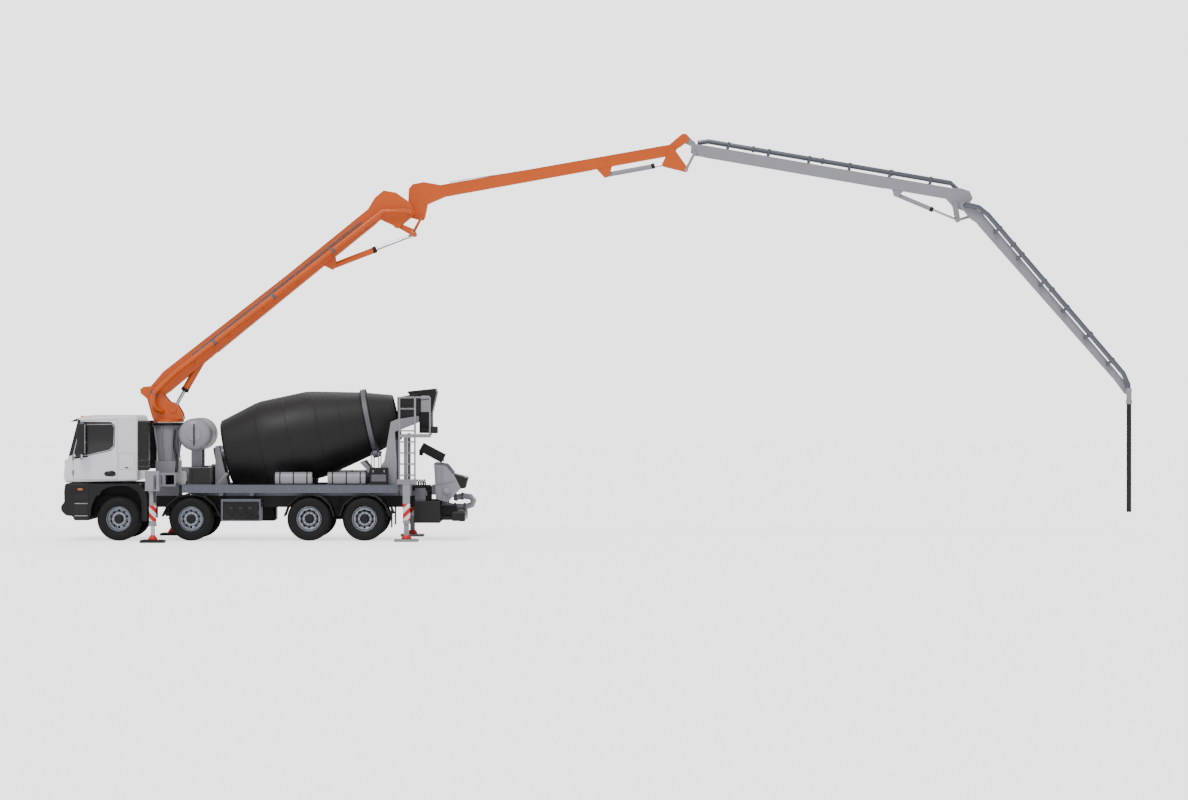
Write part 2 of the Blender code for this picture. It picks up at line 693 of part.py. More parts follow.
def build_loading_hopper():
    """Black charging hopper behind the drum's mouth and the spout below it, both open right through."""
    shell = [(-4.72, 3.62), (-4.05, 3.70), (-4.02, 3.60), (-4.14, 3.10), (-4.14, 2.62), (-4.44, 2.62), (-4.44, 3.20)]
    hollow = [(-4.67, 3.95), (-4.08, 3.95), (-4.065, 3.60), (-4.18, 3.10), (-4.18, 2.40), (-4.40, 2.40), (-4.40, 3.20), (-4.66, 3.60)]
    solids = [plate(shell, (-0.57, 0.57))]
    for span in both_sides((0.56, 0.885)):
        solids.append(block((-4.38, -4.20), span, (2.66, 2.74)))
    finish("loading_hopper", "black steel", solids, [plate(hollow, (-0.53, 0.53))])


CHUTE_PIVOT = (-4.42, 0.0, 2.30)


def build_chute():
    """Open trough that swings about an upright pin below the spout."""
    slope = radians(28)
    length = 0.62
    centre = Vector((-4.14, 0, 2.12))
    place = Matrix.Translation(centre) @ Matrix.Rotation(slope, 4, "Y")
    trough = block((-length / 2, length / 2), (-0.21, 0.21), (-0.10, 0.12))
    hollow = block((-length, length), (-0.18, 0.18), (-0.07, 0.30))
    trough.data.transform(place)
    hollow.data.transform(place)
    pin = bar((CHUTE_PIVOT[0], 0, 2.06), (CHUTE_PIVOT[0], 0, 2.28), 0.05)
    finish("chute", "black steel", [trough, pin], [hollow], pivot=CHUTE_PIVOT)


def build_pump_unit():
    """Concrete pump: two delivery cylinders on the frame line and the valve cabinet below."""
    solids = [
        block((-4.55, -3.92), (-1.05, 1.05), (0.43, 0.585)),
        block((-4.55, -3.92), (-1.05, -0.50), (0.43, 0.96)),
        block((-4.55, -3.92), (0.50, 1.05), (0.43, 0.96)),
        block((-4.28, -4.16), (-0.34, 0.34), (0.50, 1.30)),
    ]
    for side in (-1, 1):
        solids.append(bar((-6.70, side * 0.17, 1.225), (-4.18, side * 0.17, 1.225), 0.11, sides=12))
    solids.append(block((-6.78, -6.62), (-0.30, 0.30), (1.10, 1.34)))
    solids.append(block((-5.20, -5.02), (-0.30, 0.30), (1.10, 1.34)))
    finish("pump_unit", "dark plastic", solids)


def build_pump_hopper():
    """Receiving hopper with its rubber guard, and the outlet elbows of the delivery line."""
    side_wall = [(-4.08, 1.88), (-4.03, 1.00), (-3.74, 0.93), (-3.42, 1.27), (-3.60, 1.62), (-3.78, 1.84)]
    outer = plate(side_wall, (-0.62, 0.62))
    guard = plate([(-3.66, 1.62), (-3.27, 1.52), (-3.34, 1.27), (-3.50, 1.25)], (-0.60, 0.60))
    body = combine([outer, guard])
    inside = [(-4.04, 2.1), (-3.99, 1.05), (-3.75, 0.99), (-3.48, 1.28), (-3.38, 1.33), (-3.33, 1.70), (-3.70, 2.1)]
    hollow = plate(inside, (-0.56, 0.56))
    trough = combine([body], [hollow])
    elbow = tube(
        [(-3.62, 0.0, 1.02), (-3.36, 0.0, 1.06), (-3.20, 0.0, 1.04), (-3.12, 0.0, 0.95), (-3.16, 0.0, 0.85)]
        + [(-3.30, 0.0, 0.80), (-3.62, 0.0, 0.80), (-3.80, 0.0, 0.84)],
        0.075,
    )
    support = block((-3.90, -3.72), (-0.10, 0.10), (0.74, 1.04))
    mount = block((-4.14, -4.00), (-0.34, 0.34), (1.10, 1.34))
    finish("pump_hopper", "light grey paint", [trough, elbow, support, mount])


# ---------------------------------------------------------------- boom
def rest_angle(number):
    """Elevation of arm 1 to 4 at rest."""
    start, end = PIVOTS[number - 1], PIVOTS[number]
    return atan2(end[1] - start[1], end[0] - start[0])


def arm_length(number):
    start, end = PIVOTS[number - 1], PIVOTS[number]
    return hypot(end[0] - start[0], end[1] - start[1])


def arm_frame(number):
    """Frame on an arm's first pivot: x along the arm to its next pivot, z off its top."""
    x, z = PIVOTS[number - 1]
    return Matrix.Translation((x, 0, z)) @ Matrix.Rotation(-rest_angle(number), 4, "Y")


def turned_about(point, degrees):
    """A point (x, z) turned about the origin from +X towards +Z."""
    turn = radians(degrees)
    return (point[0] * cos(turn) - point[1] * sin(turn), point[0] * sin(turn) + point[1] * cos(turn))


LENGTHS = [0.0] + [arm_length(number) for number in range(1, 5)]
# linkage pivots in the frame of the arm that carries them, as (x, z)
ROCKER_PIVOT = {2: (LENGTHS[1] - 0.45, -0.05), 3: (LENGTHS[2] - 0.368, -0.178), 4: (LENGTHS[3] - 0.228, 0.012)}
ROD_EYE = {2: (LENGTHS[1] - 0.24, -0.50), 3: (6.361, -0.489), 4: (LENGTHS[3] - 0.063, -0.366)}
LINK_PIVOT = {2: (LENGTHS[1] - 0.213, -0.42), 3: (LENGTHS[2] - 0.161, -0.760), 4: (LENGTHS[3] - 0.063, -0.366)}
LINK_END = {2: (LENGTHS[1] + 0.14, -0.242), 3: (LENGTHS[2] + 0.162, -0.412), 4: (LENGTHS[3] + 0.227, -0.196)}
CYLINDER_BASE = {2: (5.40, 0.03), 3: (4.912, -0.36), 4: (5.45, -0.11)}
TURRET_EYE = (-10.52, 3.21)  # rod eye of cylinder 1
ARM_EYE = (1.27, -0.067)  # base pin of cylinder 1, in arm 1's frame


def seen_from_next(number, point):
    """A point in the frame of the arm before, in the frame of arm number."""
    bend = (rest_angle(number - 1) - rest_angle(number)) * 180 / pi
    return turned_about((point[0] - LENGTHS[number - 1], point[1]), bend)


def pin(x, z, y, radius, sides=16):
    return bar((x, y[0], z), (x, y[1], z), radius, sides=sides)


def build_turret():
    """Turning ring, base box and two side plates that hold arm 1 and the first cylinder."""
    side_plate = [
        (-11.02, 2.96),
        (-10.26, 2.96),
        (-10.30, 3.12),
        (-10.42, 3.32),
        (-10.62, 3.40),
        (-10.80, 3.62),
        (-10.86, 3.74),
        (-11.02, 3.78),
        (-11.24, 3.76),
        (-11.33, 3.70),
        (-11.32, 3.60),
        (-11.16, 3.46),
    ]
    solids = [
        bar((SLEW_X, 0, RING_Z + 0.005), (SLEW_X, 0, 2.97), 0.38, sides=24),
        block((-11.01, -10.28), (-0.25, 0.25), (2.965, 3.02)),
    ]
    solids += [plate(side_plate, (side * 0.20, side * 0.26)) for side in (-1, 1)]
    solids.append(pin(*PIVOTS[0], (-0.285, 0.285), 0.07, 18))
    solids.append(block((-10.99, -10.95), (-0.22, 0.22), (3.0, 3.22)))
    for side in (-1, 1):
        solids.append(bar((TURRET_EYE[0], side * 0.105, TURRET_EYE[1]), (TURRET_EYE[0], side * 0.29, TURRET_EYE[1]), 0.09))
    finish("turret", "orange paint", solids, pivot=(SLEW_X, 0, RING_Z))


def build_arm_1():
    """First boom section: box girder, slot for its lift cylinder and fork at the second pivot."""
    length = LENGTHS[1]
    outline = arc((0, 0), 0.20, 250, 120, 5)
    outline += [(0.45, 0.31), (1.24, 0.35), (4.30, 0.49), (6.90, 0.66), (7.22, 0.80), (7.50, 0.82), (7.72, 0.60)]
    outline += [(7.86, 0.20)]
    outline += arc((length, 0), 0.105, 20, -90, 5)
    outline += arc(ROCKER_PIVOT[2], 0.09, -85, -200, 4)
    outline += [(7.02, 0.28), (4.30, 0.10), (1.24, -0.098), (0.35, -0.17)]
    base_x, base_z = CYLINDER_BASE[2]
    solids = [plate(outline, (-0.17, 0.17))]
    for span in both_sides((0.10, 0.13)):
        solids.append(plate([(base_x - 0.22, 0.25), (base_x - 0.07, base_z - 0.07), (base_x + 0.07, base_z - 0.07), (base_x + 0.22, 0.25)], span))
    solids.append(pin(length, 0, (0.12, 0.19), 0.06))  # the link's layer beyond it stays free
    cuts = [
        pin(0, 0, (-0.3, 0.3), 0.075, 20),
        block((0.30, 1.74), (-0.115, 0.115), (-0.5, 0.19)),
        block((7.0, 8.0), (-0.125, 0.125), (-0.5, 0.20)),
    ]
    finish("arm_1", "orange paint", solids, cuts, frame=arm_frame(1))


def boom_span(low, high):
    """Y values measured from the middle of the boom layer."""
    return (BOOM_Y + low, BOOM_Y + high)


def build_arm_2():
    """Second section: gooseneck at its first pivot, fork at the third."""
    length = LENGTHS[2]
    lug = seen_from_next(2, LINK_END[2])
    outline = arc((0, 0), 0.15, 200, 110, 4)
    outline += [(0.10, 0.60), (0.22, 0.68), (0.50, 0.66), (0.90, 0.47), (6.60, -0.06)]
    outline += arc((length, 0), 0.12, 110, -60, 6)
    outline += [(6.78, -0.20), (6.62, -0.33), (0.95, 0.17), (0.45, 0.10), (0.30, -0.20)]
    outline += [(lug[0] + 0.03, lug[1] - 0.07), (lug[0] - 0.06, lug[1] - 0.05)]
    base_x, base_z = CYLINDER_BASE[3]
    solids = [plate(outline, boom_span(-0.11, 0.11))]
    for side in (-1, 1):
        ear = [(base_x - 0.20, -0.15), (base_x - 0.06, base_z - 0.06), (base_x + 0.06, base_z - 0.06), (base_x + 0.20, -0.18)]
        solids.append(plate(ear, boom_span(*sorted((side * 0.075, side * 0.10)))))
    solids.append(pin(lug[0], lug[1], (0.25, 0.34), 0.05))
    solids.append(pin(0, 0, (0.25, 0.34), 0.06))
    solids.append(pin(length, 0, boom_span(-0.118, 0.118), 0.045))
    cuts = [pin(*ROCKER_PIVOT[3], boom_span(-0.2, 0.2), 0.04)]
    body = combine(solids, [block((6.76, 7.3), boom_span(-0.085, 0.085), (-0.4, 0.3))])
    middle = pin(length, 0, boom_span(-0.10, 0.10), 0.045)
    finish("arm_2", "orange paint", [body, middle], cuts, frame=arm_frame(2))


def build_arm_3():
    """Third section: narrow lug inside arm 2's fork, and the pin that carries arm 4 beside it."""
    length = LENGTHS[3]
    lug = seen_from_next(3, LINK_END[3])
    root = arc((0, 0), 0.11, 240, 60, 6) + [(0.30, -0.04), (0.30, -0.16)]
    outline = [(0.20, -0.07), (0.50, -0.06), (6.70, 0.36), (6.95, 0.42), (7.18, 0.40), (7.30, 0.24)]
    outline += arc((length, 0), 0.11, 30, -80, 5)
    outline += arc(ROCKER_PIVOT[4], 0.09, -80, -150, 3)
    outline += [(6.66, 0.08), (0.55, -0.335), (lug[0] + 0.02, lug[1] - 0.07), (lug[0] - 0.10, lug[1] - 0.02), (0.22, -0.18)]
    base_x, base_z = CYLINDER_BASE[4]
    solids = [plate(root, boom_span(-0.075, 0.075)), plate(outline, boom_span(-0.10, 0.10))]
    solids.append(pin(lug[0], lug[1], boom_span(-0.155, -0.05), 0.05))
    for side in (-1, 1):
        ear = [(base_x - 0.18, 0.06), (base_x - 0.05, base_z - 0.05), (base_x + 0.05, base_z - 0.05), (base_x + 0.18, 0.10)]
        solids.append(plate(ear, boom_span(*sorted((side * 0.065, side * 0.09)))))
    solids.append(pin(length, 0, (0.02, BOOM_Y), 0.045))
    cuts = [pin(0, 0, (0.2, 0.7), 0.05), pin(*ROCKER_PIVOT[4], boom_span(-0.2, 0.2), 0.04)]
    finish("arm_3", "light grey paint", solids, cuts, frame=arm_frame(3))


def tip_span(low, high):
    """Y values measured from the middle of arm 4's layer."""
    return (TIP_ARM_Y + low, TIP_ARM_Y + high)


def build_arm_4():
    """Last section: slim girder with the boss that the end elbow turns on."""
    length = LENGTHS[4]
    lug = seen_from_next(4, LINK_END[4])
    outline = arc((0, 0), 0.12, 230, 120, 4)
    outline += [(0.40, 0.19), (length - 0.5, 0.10)]
    outline += arc((length, 0), 0.10, 90, -90, 7)
    outline += [(length - 0.5, -0.06), (lug[0] + 0.20, -0.06), (lug[0] + 0.02, lug[1] - 0.08)]
    solids = [plate(outline, tip_span(-0.09, 0.09))]
    solids.append(pin(lug[0], lug[1], (TIP_ARM_Y, TIP_ARM_Y + 0.105), 0.045))
    solids.append(pin(length, 0, (TIP_ARM_Y - 0.19, TIP_ARM_Y), 0.06, 18))
    finish("arm_4", "light grey paint", solids, [pin(0, 0, (-0.1, 0.4), 0.05)], frame=arm_frame(4))


HOSE_Y = TIP_ARM_Y - 0.30
HOSE_RADIUS = 0.06
HOSE_TOP = 3.33
HOSE_LENGTH = 2.66


def build_end_elbow():
    """Swivel elbow at the boom tip, from the boss down to the hose coupling."""
    x, z = PIVOTS[4]
    solids = [
        tube([(x, HOSE_Y + 0.10, z), (x, HOSE_Y + 0.04, z), (x, HOSE_Y, z - 0.05), (x, HOSE_Y, HOSE_TOP + 0.06)], 0.065, 4),
        bar((x, HOSE_Y, HOSE_TOP + TOUCH), (x, HOSE_Y, HOSE_TOP + 0.10), 0.078, sides=20),
        bar((x, HOSE_Y + 0.06, z), (x, HOSE_Y + 0.10, z), 0.085, sides=20),
    ]
    finish("end_elbow", "light grey paint", solids, pivot=(x, HOSE_Y, z))


def build_end_hose():
    x = PIVOTS[4][0]
    points = [(x, HOSE_Y, HOSE_TOP - HOSE_LENGTH * n / 10) for n in range(11)]
    finish("end_hose", "rubber", [tube(points, HOSE_RADIUS)], pivot=(x, HOSE_Y, PIVOTS[4][1]))


# radii of barrel and rod, barrel end and bore start measured from the base pin, rod length, half width
CYLINDERS = {
    1: (0.09, 0.045, 0.72, -0.26, 1.06, 0.10),
    2: (0.075, 0.04, 1.15, 0.10, 1.50, 0.06),
    3: (0.06, 0.035, 1.22, 0.10, 1.00, 0.065),
    4: (0.055, 0.03, 0.98, 0.10, 0.90, 0.055),
}
BARREL_TAIL = 0.30  # cylinder 1 reaches this far behind its pin


def build_cylinder(number, frame, base, eye, layer):
    """Hydraulic cylinder in two pieces, drawn from its base pin towards its rod eye."""
    barrel, rod, barrel_end, bore_start, rod_length, half_width = CYLINDERS[number]
    length = hypot(eye[0] - base[0], eye[1] - base[1])
    angle = atan2(eye[1] - base[1], eye[0] - base[0])
    place = frame @ Matrix.Translation((base[0], layer, base[1])) @ Matrix.Rotation(-angle, 4, "Y")
    start = -BARREL_TAIL if number == 1 else 0.02
    solids = [
        bar((start, 0, 0), (barrel_end, 0, 0), barrel, sides=16),
        bar((0, -half_width, 0), (0, half_width, 0), barrel * 0.9, sides=14),
    ]
    bore = bar((bore_start, 0, 0), (barrel_end + 0.1, 0, 0), rod + 0.005, sides=16)
    colour = "orange paint" if number <= 2 else "light grey paint"
    finish(f"cylinder_{number}_barrel", colour, solids, [bore], frame=place)
    solids = [
        bar((-rod_length, 0, 0), (0, 0, 0), rod, sides=14),
        bar((0, -half_width, 0), (0, half_width, 0), rod * 1.7, sides=14),
    ]
    finish(f"cylinder_{number}_rod", "chrome", solids, frame=place @ Matrix.Translation((length, 0, 0)))


def build_cylinders():
    eye = arm_frame(1).inverted() @ Vector((TURRET_EYE[0], 0, TURRET_EYE[1]))
    build_cylinder(1, arm_frame(1), ARM_EYE, (eye.x, eye.z), 0.0)
    build_cylinder(2, arm_frame(1), CYLINDER_BASE[2], ROD_EYE[2], 0.0)
    build_cylinder(3, arm_frame(2), CYLINDER_BASE[3], ROD_EYE[3], BOOM_Y)
    build_cylinder(4, arm_frame(3), CYLINDER_BASE[4], ROD_EYE[4], BOOM_Y)


def lever(points, radius, y):
    """A plate round two or three points, given in turning order, with rounded corners."""
    count = len(points)
    turning = sum(
        points[n][0] * points[(n + 1) % count][1] - points[(n + 1) % count][0] * points[n][1] for n in range(count)
    )
    if turning < 0:
        points = points[::-1]
    outline = []
    for n, here in enumerate(points):
        before, after = points[n - 1], points[(n + 1) % count]
        first = atan2(here[1] - before[1], here[0] - before[0]) - pi / 2
        last = atan2(after[1] - here[1], after[0] - here[0]) - pi / 2
        while last < first + 0.01:
            last += 2 * pi
        outline += arc(here, radius, first * 180 / pi, last * 180 / pi, 5)
    return plate(outline, y)


def build_rocker(number, layer, inner, outer, tube_reach, colour):
    """Two lever plates joined by the tube that they rock on."""
    pivot, eye, link = ROCKER_PIVOT[number], ROD_EYE[number], LINK_PIVOT[number]
    corners = [pivot, eye] if eye == link else [pivot, eye, link]
    solids = [lever(corners, 0.055, sorted((layer + side * inner, layer + side * outer))) for side in (-1, 1)]
    solids.append(pin(*pivot, (layer - tube_reach, layer + tube_reach), 0.035))
    bore = pin(*link, (layer - outer - 0.05, layer + outer + 0.05), 0.035)
    rocker = combine(solids, [bore])
    rocker.data.transform(Matrix.Translation((-pivot[0], 0, -pivot[1])))
    frame = arm_frame(number - 1) @ Matrix.Translation((pivot[0], 0, pivot[1]))
    finish(f"rocker_{number}", colour, [rocker], frame=frame)


def build_link(number, y, pin_y, colour):
    """One bar from the rocker's corner to the next arm's boss, with its own pin through the rocker."""
    start, end = LINK_PIVOT[number], LINK_END[number]
    link = combine([lever([start, end], 0.034, y), pin(*start, pin_y, 0.03)])
    link.data.transform(Matrix.Translation((-start[0], 0, -start[1])))
    frame = arm_frame(number - 1) @ Matrix.Translation((start[0], 0, start[1]))
    finish(f"link_{number}", colour, [link], frame=frame)


def build_linkages():
    build_rocker(2, 0.0, 0.07, 0.10, 0.12, "orange paint")
    build_rocker(3, BOOM_Y, 0.125, 0.15, 0.148, "orange paint")
    build_rocker(4, BOOM_Y, 0.125, 0.15, 0.148, "light grey paint")
    build_link(2, (0.20, 0.24), (0.065, 0.22), "orange paint")
    build_link(3, (BOOM_Y - 0.185, BOOM_Y - 0.165), (BOOM_Y - 0.175, BOOM_Y - 0.12), "light grey paint")
    build_link(4, (BOOM_Y - 0.195, BOOM_Y - 0.165), (BOOM_Y - 0.175, BOOM_Y - 0.12), "light grey paint")


def build_all():
    build_wheels()
    build_front_axle("front_axle_1", AXLE_X[0])
    build_front_axle("front_axle_2", AXLE_X[1])
    for number in (1, 2):
        for side_name, side in (("left", -1), ("right", 1)):
            build_knuckle(f"knuckle_{number}_{side_name}", AXLE_X[number - 1], side)
    build_rear_bogie()
    build_chassis()
    build_engine()
    build_air_tank_rack()
    build_cab()
    for side_name, side in (("left", -1), ("right", 1)):
        build_door(f"door_{side_name}", side)
        build_front_beam(side_name, side)
        build_front_foot(side_name, side)
        build_rear_foot(side_name, side)
    build_cab_front()
    build_cab_interior()
    build_pedestal()
    build_water_tank()
    build_side_deck()
    build_drum()
    build_drum_front_stand()
    build_drum_rear_stand()
    build_loading_hopper()
    build_chute()
    build_pump_unit()
    build_pump_hopper()
    build_turret()
    build_arm_1()
    build_arm_2()
    build_arm_3()
    build_arm_4()
    build_end_elbow()
    build_end_hose()
    build_cylinders()
    build_linkages()


build_all()
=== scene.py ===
import json
from math import atan2, cos, pi, radians, sin, tau

import bmesh
import bpy
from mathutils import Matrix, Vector


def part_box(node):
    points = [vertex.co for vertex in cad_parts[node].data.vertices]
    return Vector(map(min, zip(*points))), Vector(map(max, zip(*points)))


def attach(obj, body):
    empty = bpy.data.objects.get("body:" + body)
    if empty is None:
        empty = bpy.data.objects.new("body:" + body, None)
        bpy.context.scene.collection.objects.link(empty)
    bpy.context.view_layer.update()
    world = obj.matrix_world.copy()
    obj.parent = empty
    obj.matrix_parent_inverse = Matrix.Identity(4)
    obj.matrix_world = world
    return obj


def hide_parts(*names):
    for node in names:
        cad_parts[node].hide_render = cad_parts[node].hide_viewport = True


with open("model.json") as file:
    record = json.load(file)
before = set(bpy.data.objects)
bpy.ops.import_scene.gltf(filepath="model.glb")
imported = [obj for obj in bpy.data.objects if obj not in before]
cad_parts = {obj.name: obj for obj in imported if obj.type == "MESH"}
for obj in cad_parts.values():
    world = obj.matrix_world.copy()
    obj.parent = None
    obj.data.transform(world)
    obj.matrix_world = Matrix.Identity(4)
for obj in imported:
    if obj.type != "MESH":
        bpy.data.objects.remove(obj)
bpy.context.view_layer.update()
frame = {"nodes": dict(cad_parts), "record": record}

# ---- Camera
# It stands square to the truck's left side, far off and a little above the middle of the machine,
# so that the whole boom is in view with almost no perspective.
CAMERA_DISTANCE = 99.0
CAMERA_HEIGHT = 4.0
CAMERA_SIDE = -0.15
CAMERA_DIP = radians(0.33)

camera = bpy.data.objects.new("camera", bpy.data.cameras.new("camera"))
camera.data.lens = 121.5
camera.data.sensor_width = 36.0
camera.data.clip_end = 400.0
camera.location = (CAMERA_SIDE, -CAMERA_DISTANCE, CAMERA_HEIGHT)
camera.rotation_euler = (pi / 2 - CAMERA_DIP, 0, 0)
bpy.context.scene.collection.objects.link(camera)
bpy.context.scene.camera = camera


# ---- End hose
# A reinforced rubber hose, 120 mm across and stiff, that hangs straight down from the coupling
# under the tip elbow and ends in a bare cut.
def linear(red, green, blue):
    """Colour as seen on a screen, turned into the values that a shader takes."""
    return tuple(
        (c / 12.92 if c <= 0.04045 else ((c + 0.055) / 1.055) ** 2.4) for c in (red, green, blue)
    ) + (1.0,)


def new_group(name, inputs, outputs):
    """An empty shader node group with named sockets, and the nodes at its two ends."""
    group = bpy.data.node_groups.new(name, "ShaderNodeTree")
    for socket, kind, value in inputs:
        made = group.interface.new_socket(socket, in_out="INPUT", socket_type=kind)
        made.default_value = value
    for socket, kind in outputs:
        group.interface.new_socket(socket, in_out="OUTPUT", socket_type=kind)
    return group, group.nodes.new("NodeGroupInput"), group.nodes.new("NodeGroupOutput")


def noise(tree, position, scale, detail=3.0):
    texture = tree.nodes.new("ShaderNodeTexNoise")
    texture.inputs["Scale"].default_value = scale
    texture.inputs["Detail"].default_value = detail
    tree.links.new(position, texture.inputs["Vector"])
    return texture.outputs["Fac"]


def spread(tree, value, low, high, to_low=0.0, to_high=1.0):
    """Map a value from one span to another, held at the ends."""
    node = tree.nodes.new("ShaderNodeMapRange")
    for socket, number in (
        ("From Min", low), ("From Max", high), ("To Min", to_low), ("To Max", to_high)
    ):
        node.inputs[socket].default_value = number
    tree.links.new(value, node.inputs["Value"])
    return node.outputs["Result"]


def calculate(tree, operation, first, second):
    node = tree.nodes.new("ShaderNodeMath")
    node.operation = operation
    for socket, value in zip(node.inputs, (first, second)):
        if isinstance(value, (int, float)):
            socket.default_value = value
        else:
            tree.links.new(value, socket)
    return node.outputs["Value"]


def blend_colour(tree, factor, first, second, kind="MIX"):
    node = tree.nodes.new("ShaderNodeMix")
    node.data_type = "RGBA"
    node.blend_type = kind
    tree.links.new(factor, node.inputs["Factor"])
    for socket, value in ((node.inputs["A"], first), (node.inputs["B"], second)):
        if isinstance(value, tuple):
            socket.default_value = value
        else:
            tree.links.new(value, socket)
    return node.outputs["Result"]


def road_dust_group():
    """Colour, roughness and bump of a used surface: blotches, a fine grain, and dust low down."""
    group, start, end = new_group(
        "road_dust",
        [
            ("Colour", "NodeSocketColor", (0.5, 0.5, 0.5, 1.0)),
            ("Dust", "NodeSocketFloat", 0.2),
            ("Roughness", "NodeSocketFloat", 0.4),
            ("Grain Depth", "NodeSocketFloat", 0.1),
        ],
        [("Colour", "NodeSocketColor"), ("Roughness", "NodeSocketFloat"), ("Normal", "NodeSocketVector")],
    )
    position = group.nodes.new("ShaderNodeTexCoord").outputs["Object"]
    axes = group.nodes.new("ShaderNodeSeparateXYZ")
    group.links.new(position, axes.inputs["Vector"])
    blotches = spread(group, noise(group, position, 1.7, 6.0), 0.35, 0.7)
    specks = spread(group, noise(group, position, 55.0, 2.0), 0.55, 0.8)
    low_down = spread(group, axes.outputs["Z"], 1.3, 0.2, 0.05, 0.32)
    mask = calculate(group, "MULTIPLY", calculate(group, "MAXIMUM", blotches, specks), low_down)
    mask = calculate(group, "MULTIPLY", mask, start.outputs["Dust"])
    dusty = blend_colour(group, mask, start.outputs["Colour"], linear(0.44, 0.43, 0.41))
    shade = spread(group, blotches, 0.0, 1.0, 0.06, 0.0)
    group.links.new(blend_colour(group, shade, dusty, (0.0, 0.0, 0.0, 1.0)), end.inputs["Colour"])
    rough = calculate(group, "ADD", start.outputs["Roughness"], calculate(group, "MULTIPLY", mask, 0.35))
    rough = calculate(group, "ADD", rough, spread(group, blotches, 0.0, 1.0, -0.03, 0.05))
    group.links.new(rough, end.inputs["Roughness"])
    bump = group.nodes.new("ShaderNodeBump")
    bump.inputs["Distance"].default_value = 0.002
    group.links.new(start.outputs["Grain Depth"], bump.inputs["Strength"])
    group.links.new(noise(group, position, 240.0, 2.0), bump.inputs["Height"])
    group.links.new(bump.outputs["Normal"], end.inputs["Normal"])
    return group


ROAD_DUST = road_dust_group()


def dusty_finish(name, colour, roughness, dust=0.2, grain=0.08, metallic=0.0, coat=0.0):
    """A Principled material whose colour, roughness and bump come from the road dust group."""
    material = bpy.data.materials.new(name)
    material.use_nodes = True
    tree = material.node_tree
    shader = tree.nodes["Principled BSDF"]
    shader.inputs["Metallic"].default_value = metallic
    shader.inputs["Coat Weight"].default_value = coat
    shader.inputs["Coat Roughness"].default_value = 0.08
    shader.inputs["Specular IOR Level"].default_value = 0.35
    life = tree.nodes.new("ShaderNodeGroup")
    life.node_tree = ROAD_DUST
    life.inputs["Colour"].default_value = linear(*colour)
    life.inputs["Dust"].default_value = dust
    life.inputs["Roughness"].default_value = roughness
    life.inputs["Grain Depth"].default_value = grain
    tree.links.new(life.outputs["Colour"], shader.inputs["Base Color"])
    tree.links.new(life.outputs["Roughness"], shader.inputs["Roughness"])
    tree.links.new(life.outputs["Normal"], shader.inputs["Normal"])
    return material


HOSE_RUBBER = dusty_finish("hose_rubber", (0.115, 0.115, 0.12), 0.62, dust=0.15, grain=0.35)
CHROME = dusty_finish("hard_chrome", (0.80, 0.81, 0.83), 0.16, dust=0.05, grain=0.02, metallic=1.0)
ZINC = dusty_finish("zinc_plate", (0.62, 0.62, 0.63), 0.34, dust=0.12, grain=0.1, metallic=0.9)


# Each shape below is a pair: a list of points and a list of faces.
def box_shape(x, y, z):
    """A box between pairs of values."""
    points = [(a, b, c) for a in sorted(x) for b in sorted(y) for c in sorted(z)]
    return points, [(0, 1, 3, 2), (4, 6, 7, 5), (0, 4, 5, 1), (2, 3, 7, 6), (0, 2, 6, 4), (1, 5, 7, 3)]


def slab_shape(outline, y):
    """A flat outline of (x, z) points, as thick as the pair of y values is apart."""
    turning = sum(
        outline[n][0] * outline[
            (n + 1) % len(outline)
        ][1] - outline[(n + 1) % len(outline)][0] * outline[n][1]
        for n in range(len(outline))
    )
    if turning < 0:
        outline = outline[::-1]
    count = len(outline)
    low, high = sorted(y)
    points = [(px, low, pz) for px, pz in outline] + [(px, high, pz) for px, pz in outline]
    faces = [tuple(range(count)), tuple(range(2 * count - 1, count - 1, -1))]
    faces += [(n, n + count, (n + 1) % count + count, (n + 1) % count) for n in range(count)]
    return points, faces


def rings_shape(rings, closed_ends=True):
    """Skin over rings of points that lie one after the other."""
    around = len(rings[0])
    points = [tuple(point) for ring in rings for point in ring]
    faces = []
    for n in range(len(rings) - 1):
        for k in range(around):
            after = (k + 1) % around
            faces.append(
                (n * around + k, n * around + after, (n + 1) * around + after, (n + 1) * around + k)
            )
    if closed_ends:
        faces.append(tuple(range(around - 1, -1, -1)))
        faces.append(tuple(range((len(rings) - 1) * around, len(rings) * around)))
    return points, faces


def pipe_shape(route, radius, sides=12, soft=False):
    """A pipe along a line of points; a soft one is smoothed into a flexible hose."""
    route = [Vector(p) for p in route]
    if soft:
        smooth = []
        for n in range(len(route) - 1):
            before, here = route[max(n - 1, 0)], route[n]
            after, last = route[n + 1], route[min(n + 2, len(route) - 1)]
            for step in range(5):
                t = step / 5
                smooth.append(
                    0.5 * (2 * here + (after - before) * t
                           + (2 * before - 5 * here + 4 * after - last) * t**2
                           + (3 * here - before - 3 * after + last) * t**3)
                )
        route = smooth + [route[-1]]
    rings = []
    side = None
    for n, here in enumerate(route):
        along = (route[min(n + 1, len(route) - 1)] - route[max(n - 1, 0)]).normalized()
        if side is None:
            side = along.orthogonal().normalized()
        side = (side - along * side.dot(along)).normalized()
        other = along.cross(side)
        turns = [tau * k / sides for k in range(sides)]
        rings.append([here + (side * cos(a) + other * sin(a)) * radius for a in turns])
    return rings_shape(rings)


def turned_shape(profile, origin, along, steps=32, closed_ends=True):
    """A profile of (distance along, radius) turned about the line through origin."""
    along = Vector(along).normalized()
    side = along.orthogonal().normalized()
    other = along.cross(side)
    turns = [tau * k / steps for k in range(steps)]
    rings = [
        [
            Vector(origin) + along * reach + (side * cos(a) + other * sin(a)) * max(radius, 0.0005)
            for a in turns
        ]
        for reach, radius in profile
    ]
    return rings_shape(rings, closed_ends)


